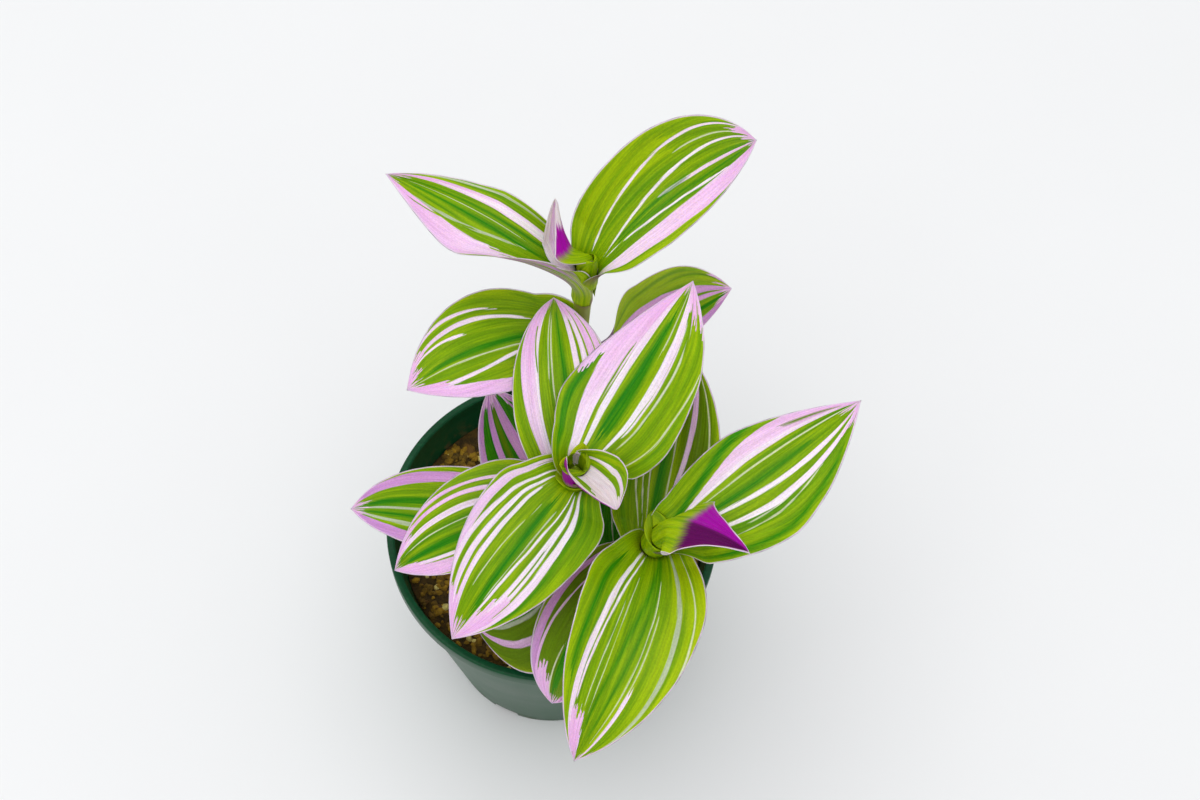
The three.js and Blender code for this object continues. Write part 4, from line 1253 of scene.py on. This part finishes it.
def leaf_inputs(leaf, settings):
    """The leaf tree's inputs that come from a leaf's row and the settings."""
    values = {key: math.radians(leaf[key]) for key in LEAF_ANGLES}
    values |= {key: leaf[key] * MM for key in LEAF_LENGTHS}
    values |= {key: float(leaf[key]) for key in LEAF_NUMBERS}
    values |= {key: getattr(settings, key) for key in LEAF_RELIEF}
    return {key.replace("_", " ").title(): value for key, value in values.items()}


class TRADESCANTIA_OT_leaves(bpy.types.Operator):
    """Grow every leaf from its joint, from a clasping sheath to a striped blade"""
    bl_idname = "tradescantia.leaves"
    bl_label = "Leaves"

    def execute(self, context):
        settings = context.scene.tradescantia_leaf
        tree, grain, stripe = leaf_tree(), grain_group(), stripe_group()
        for number, (key, row) in enumerate(LEAVES.items()):
            leaf = {**LEAF_DEFAULTS, **row}
            point, direction = stem_at_height(STEMS[leaf["stem"]], leaf["height"])
            seed = 3.7 * number + 1.0
            name = f"{key}_blade"
            piece = grown(name, tree, {
                **leaf_inputs(leaf, settings), "Base": point * MM, "Stem": direction, "Seed": seed,
                "Material": leaf_material(name, leaf, seed, settings, grain, stripe)})
            # The CAD model has the leaves as nodes, but not the buds and the sheath mouths.
            nodes = [key] if key.startswith("leaf_") else []
            settle(piece, "leaf", *nodes)
        return {"FINISHED"}


# ---------------------------------------------------------------- stage

# The camera looks straight down before it is tilted up and then rolled, in degrees. Its lens and
# sensor are in millimetres.
CAMERA_PLACE = (0.0127, -0.2372, 0.6080)
CAMERA_TILT = 28.503
CAMERA_ROLL = 3.32
CAMERA_LENS, CAMERA_SENSOR = 54.0, 36.0
CAMERA_CLIP = (0.01, 20.0)

KEY_PLACE, KEY_TARGET = (-0.25, -0.20, 2.2), (0, 0, 0.1)
KEY_SIZE = 2.2


def add_camera():
    """The camera at the photograph's viewing angle."""
    camera = bpy.data.objects.new("camera", bpy.data.cameras.new("camera"))
    bpy.context.scene.collection.objects.link(camera)
    camera.data.lens, camera.data.sensor_width = CAMERA_LENS, CAMERA_SENSOR
    camera.data.sensor_fit = "HORIZONTAL"
    camera.data.clip_start, camera.data.clip_end = CAMERA_CLIP
    tilt = Matrix.Rotation(math.radians(CAMERA_TILT), 4, "X")
    roll = Matrix.Rotation(math.radians(CAMERA_ROLL), 4, "Z")
    camera.matrix_world = Matrix.Translation(CAMERA_PLACE) @ tilt @ roll
    bpy.context.scene.camera = camera


def add_area_light(name, place, target, size, power):
    """A large soft light at a place, aimed at a target."""
    light = bpy.data.objects.new(name, bpy.data.lights.new(name, "AREA"))
    bpy.context.scene.collection.objects.link(light)
    light.data.shape, light.data.size, light.data.energy = "DISK", size, power
    light.location = place
    light.rotation_euler = (Vector(target) - Vector(place)).to_track_quat("-Z", "Y").to_euler()


class TRADESCANTIA_OT_stage(bpy.types.Operator):
    """Set up the pale floor, the soft studio light and the camera"""
    bl_idname = "tradescantia.stage"
    bl_label = "Stage"

    def execute(self, context):
        settings = context.scene.tradescantia_stage
        half = settings.floor_size / 2
        mesh = bpy.data.meshes.new("studio_floor")
        mesh.from_pydata([(-half, -half, 0), (half, -half, 0), (half, half, 0), (-half, half, 0)],
                         [], [(0, 1, 2, 3)])
        material, tree, shader = new_material("pale_floor")
        plain = linear(settings.floor_colour)
        cloud = noise(place_in(tree), 9.0, 3.0)
        coat(shader, {"Base Color": mixed(cloud, shaded(plain, 0.97), plain), "Roughness": 0.6})
        mesh.materials.append(material)
        new_piece("studio_floor", mesh)
        world = bpy.data.worlds.new("studio")
        context.scene.world = world
        world.use_nodes = True
        background = world.node_tree.nodes["Background"]
        coat(background, {"Strength": settings.fill, "Color": (1, 1, 1, 1)})
        add_area_light("key", KEY_PLACE, KEY_TARGET, KEY_SIZE, settings.key_power)
        context.scene.view_settings.view_transform = "Standard"
        add_camera()
        return {"FINISHED"}


# ---------------------------------------------------------------- add-on

OPERATORS = (
    TRADESCANTIA_OT_pot, TRADESCANTIA_OT_mix, TRADESCANTIA_OT_stems, TRADESCANTIA_OT_leaves,
    TRADESCANTIA_OT_stage,
)
SETTINGS = {
    "tradescantia_pot": PotSettings, "tradescantia_soil": SoilSettings,
    "tradescantia_stem": StemSettings, "tradescantia_leaf": LeafSettings,
    "tradescantia_stage": StageSettings,
}


class TRADESCANTIA_PT_panel(bpy.types.Panel):
    """Lists the plant's pieces and their settings"""
    bl_idname = "TRADESCANTIA_PT_panel"
    bl_label = "Tradescantia"
    bl_space_type = "VIEW_3D"
    bl_region_type = "UI"
    bl_category = "Tradescantia"

    def draw(self, context):
        for operator, name in zip(OPERATORS, SETTINGS):
            box = self.layout.box()
            box.operator(operator.bl_idname)
            settings = getattr(context.scene, name)
            for key in settings.__annotations__:
                box.prop(settings, key)


def register():
    """Adds the operators, the panel and the settings to Blender."""
    for made in (*SETTINGS.values(), *OPERATORS, TRADESCANTIA_PT_panel):
        bpy.utils.register_class(made)
    for name, made in SETTINGS.items():
        setattr(bpy.types.Scene, name, PointerProperty(type=made))


def unregister():
    """Takes the operators, the panel and the settings out again."""
    for name in SETTINGS:
        delattr(bpy.types.Scene, name)
    for made in reversed((*SETTINGS.values(), *OPERATORS, TRADESCANTIA_PT_panel)):
        bpy.utils.unregister_class(made)


def main():
    """Builds every piece in order."""
    register()
    for operator in OPERATORS:
        getattr(bpy.ops.tradescantia, operator.bl_idname.split(".")[1])()


if __name__ == "__main__":
    main()
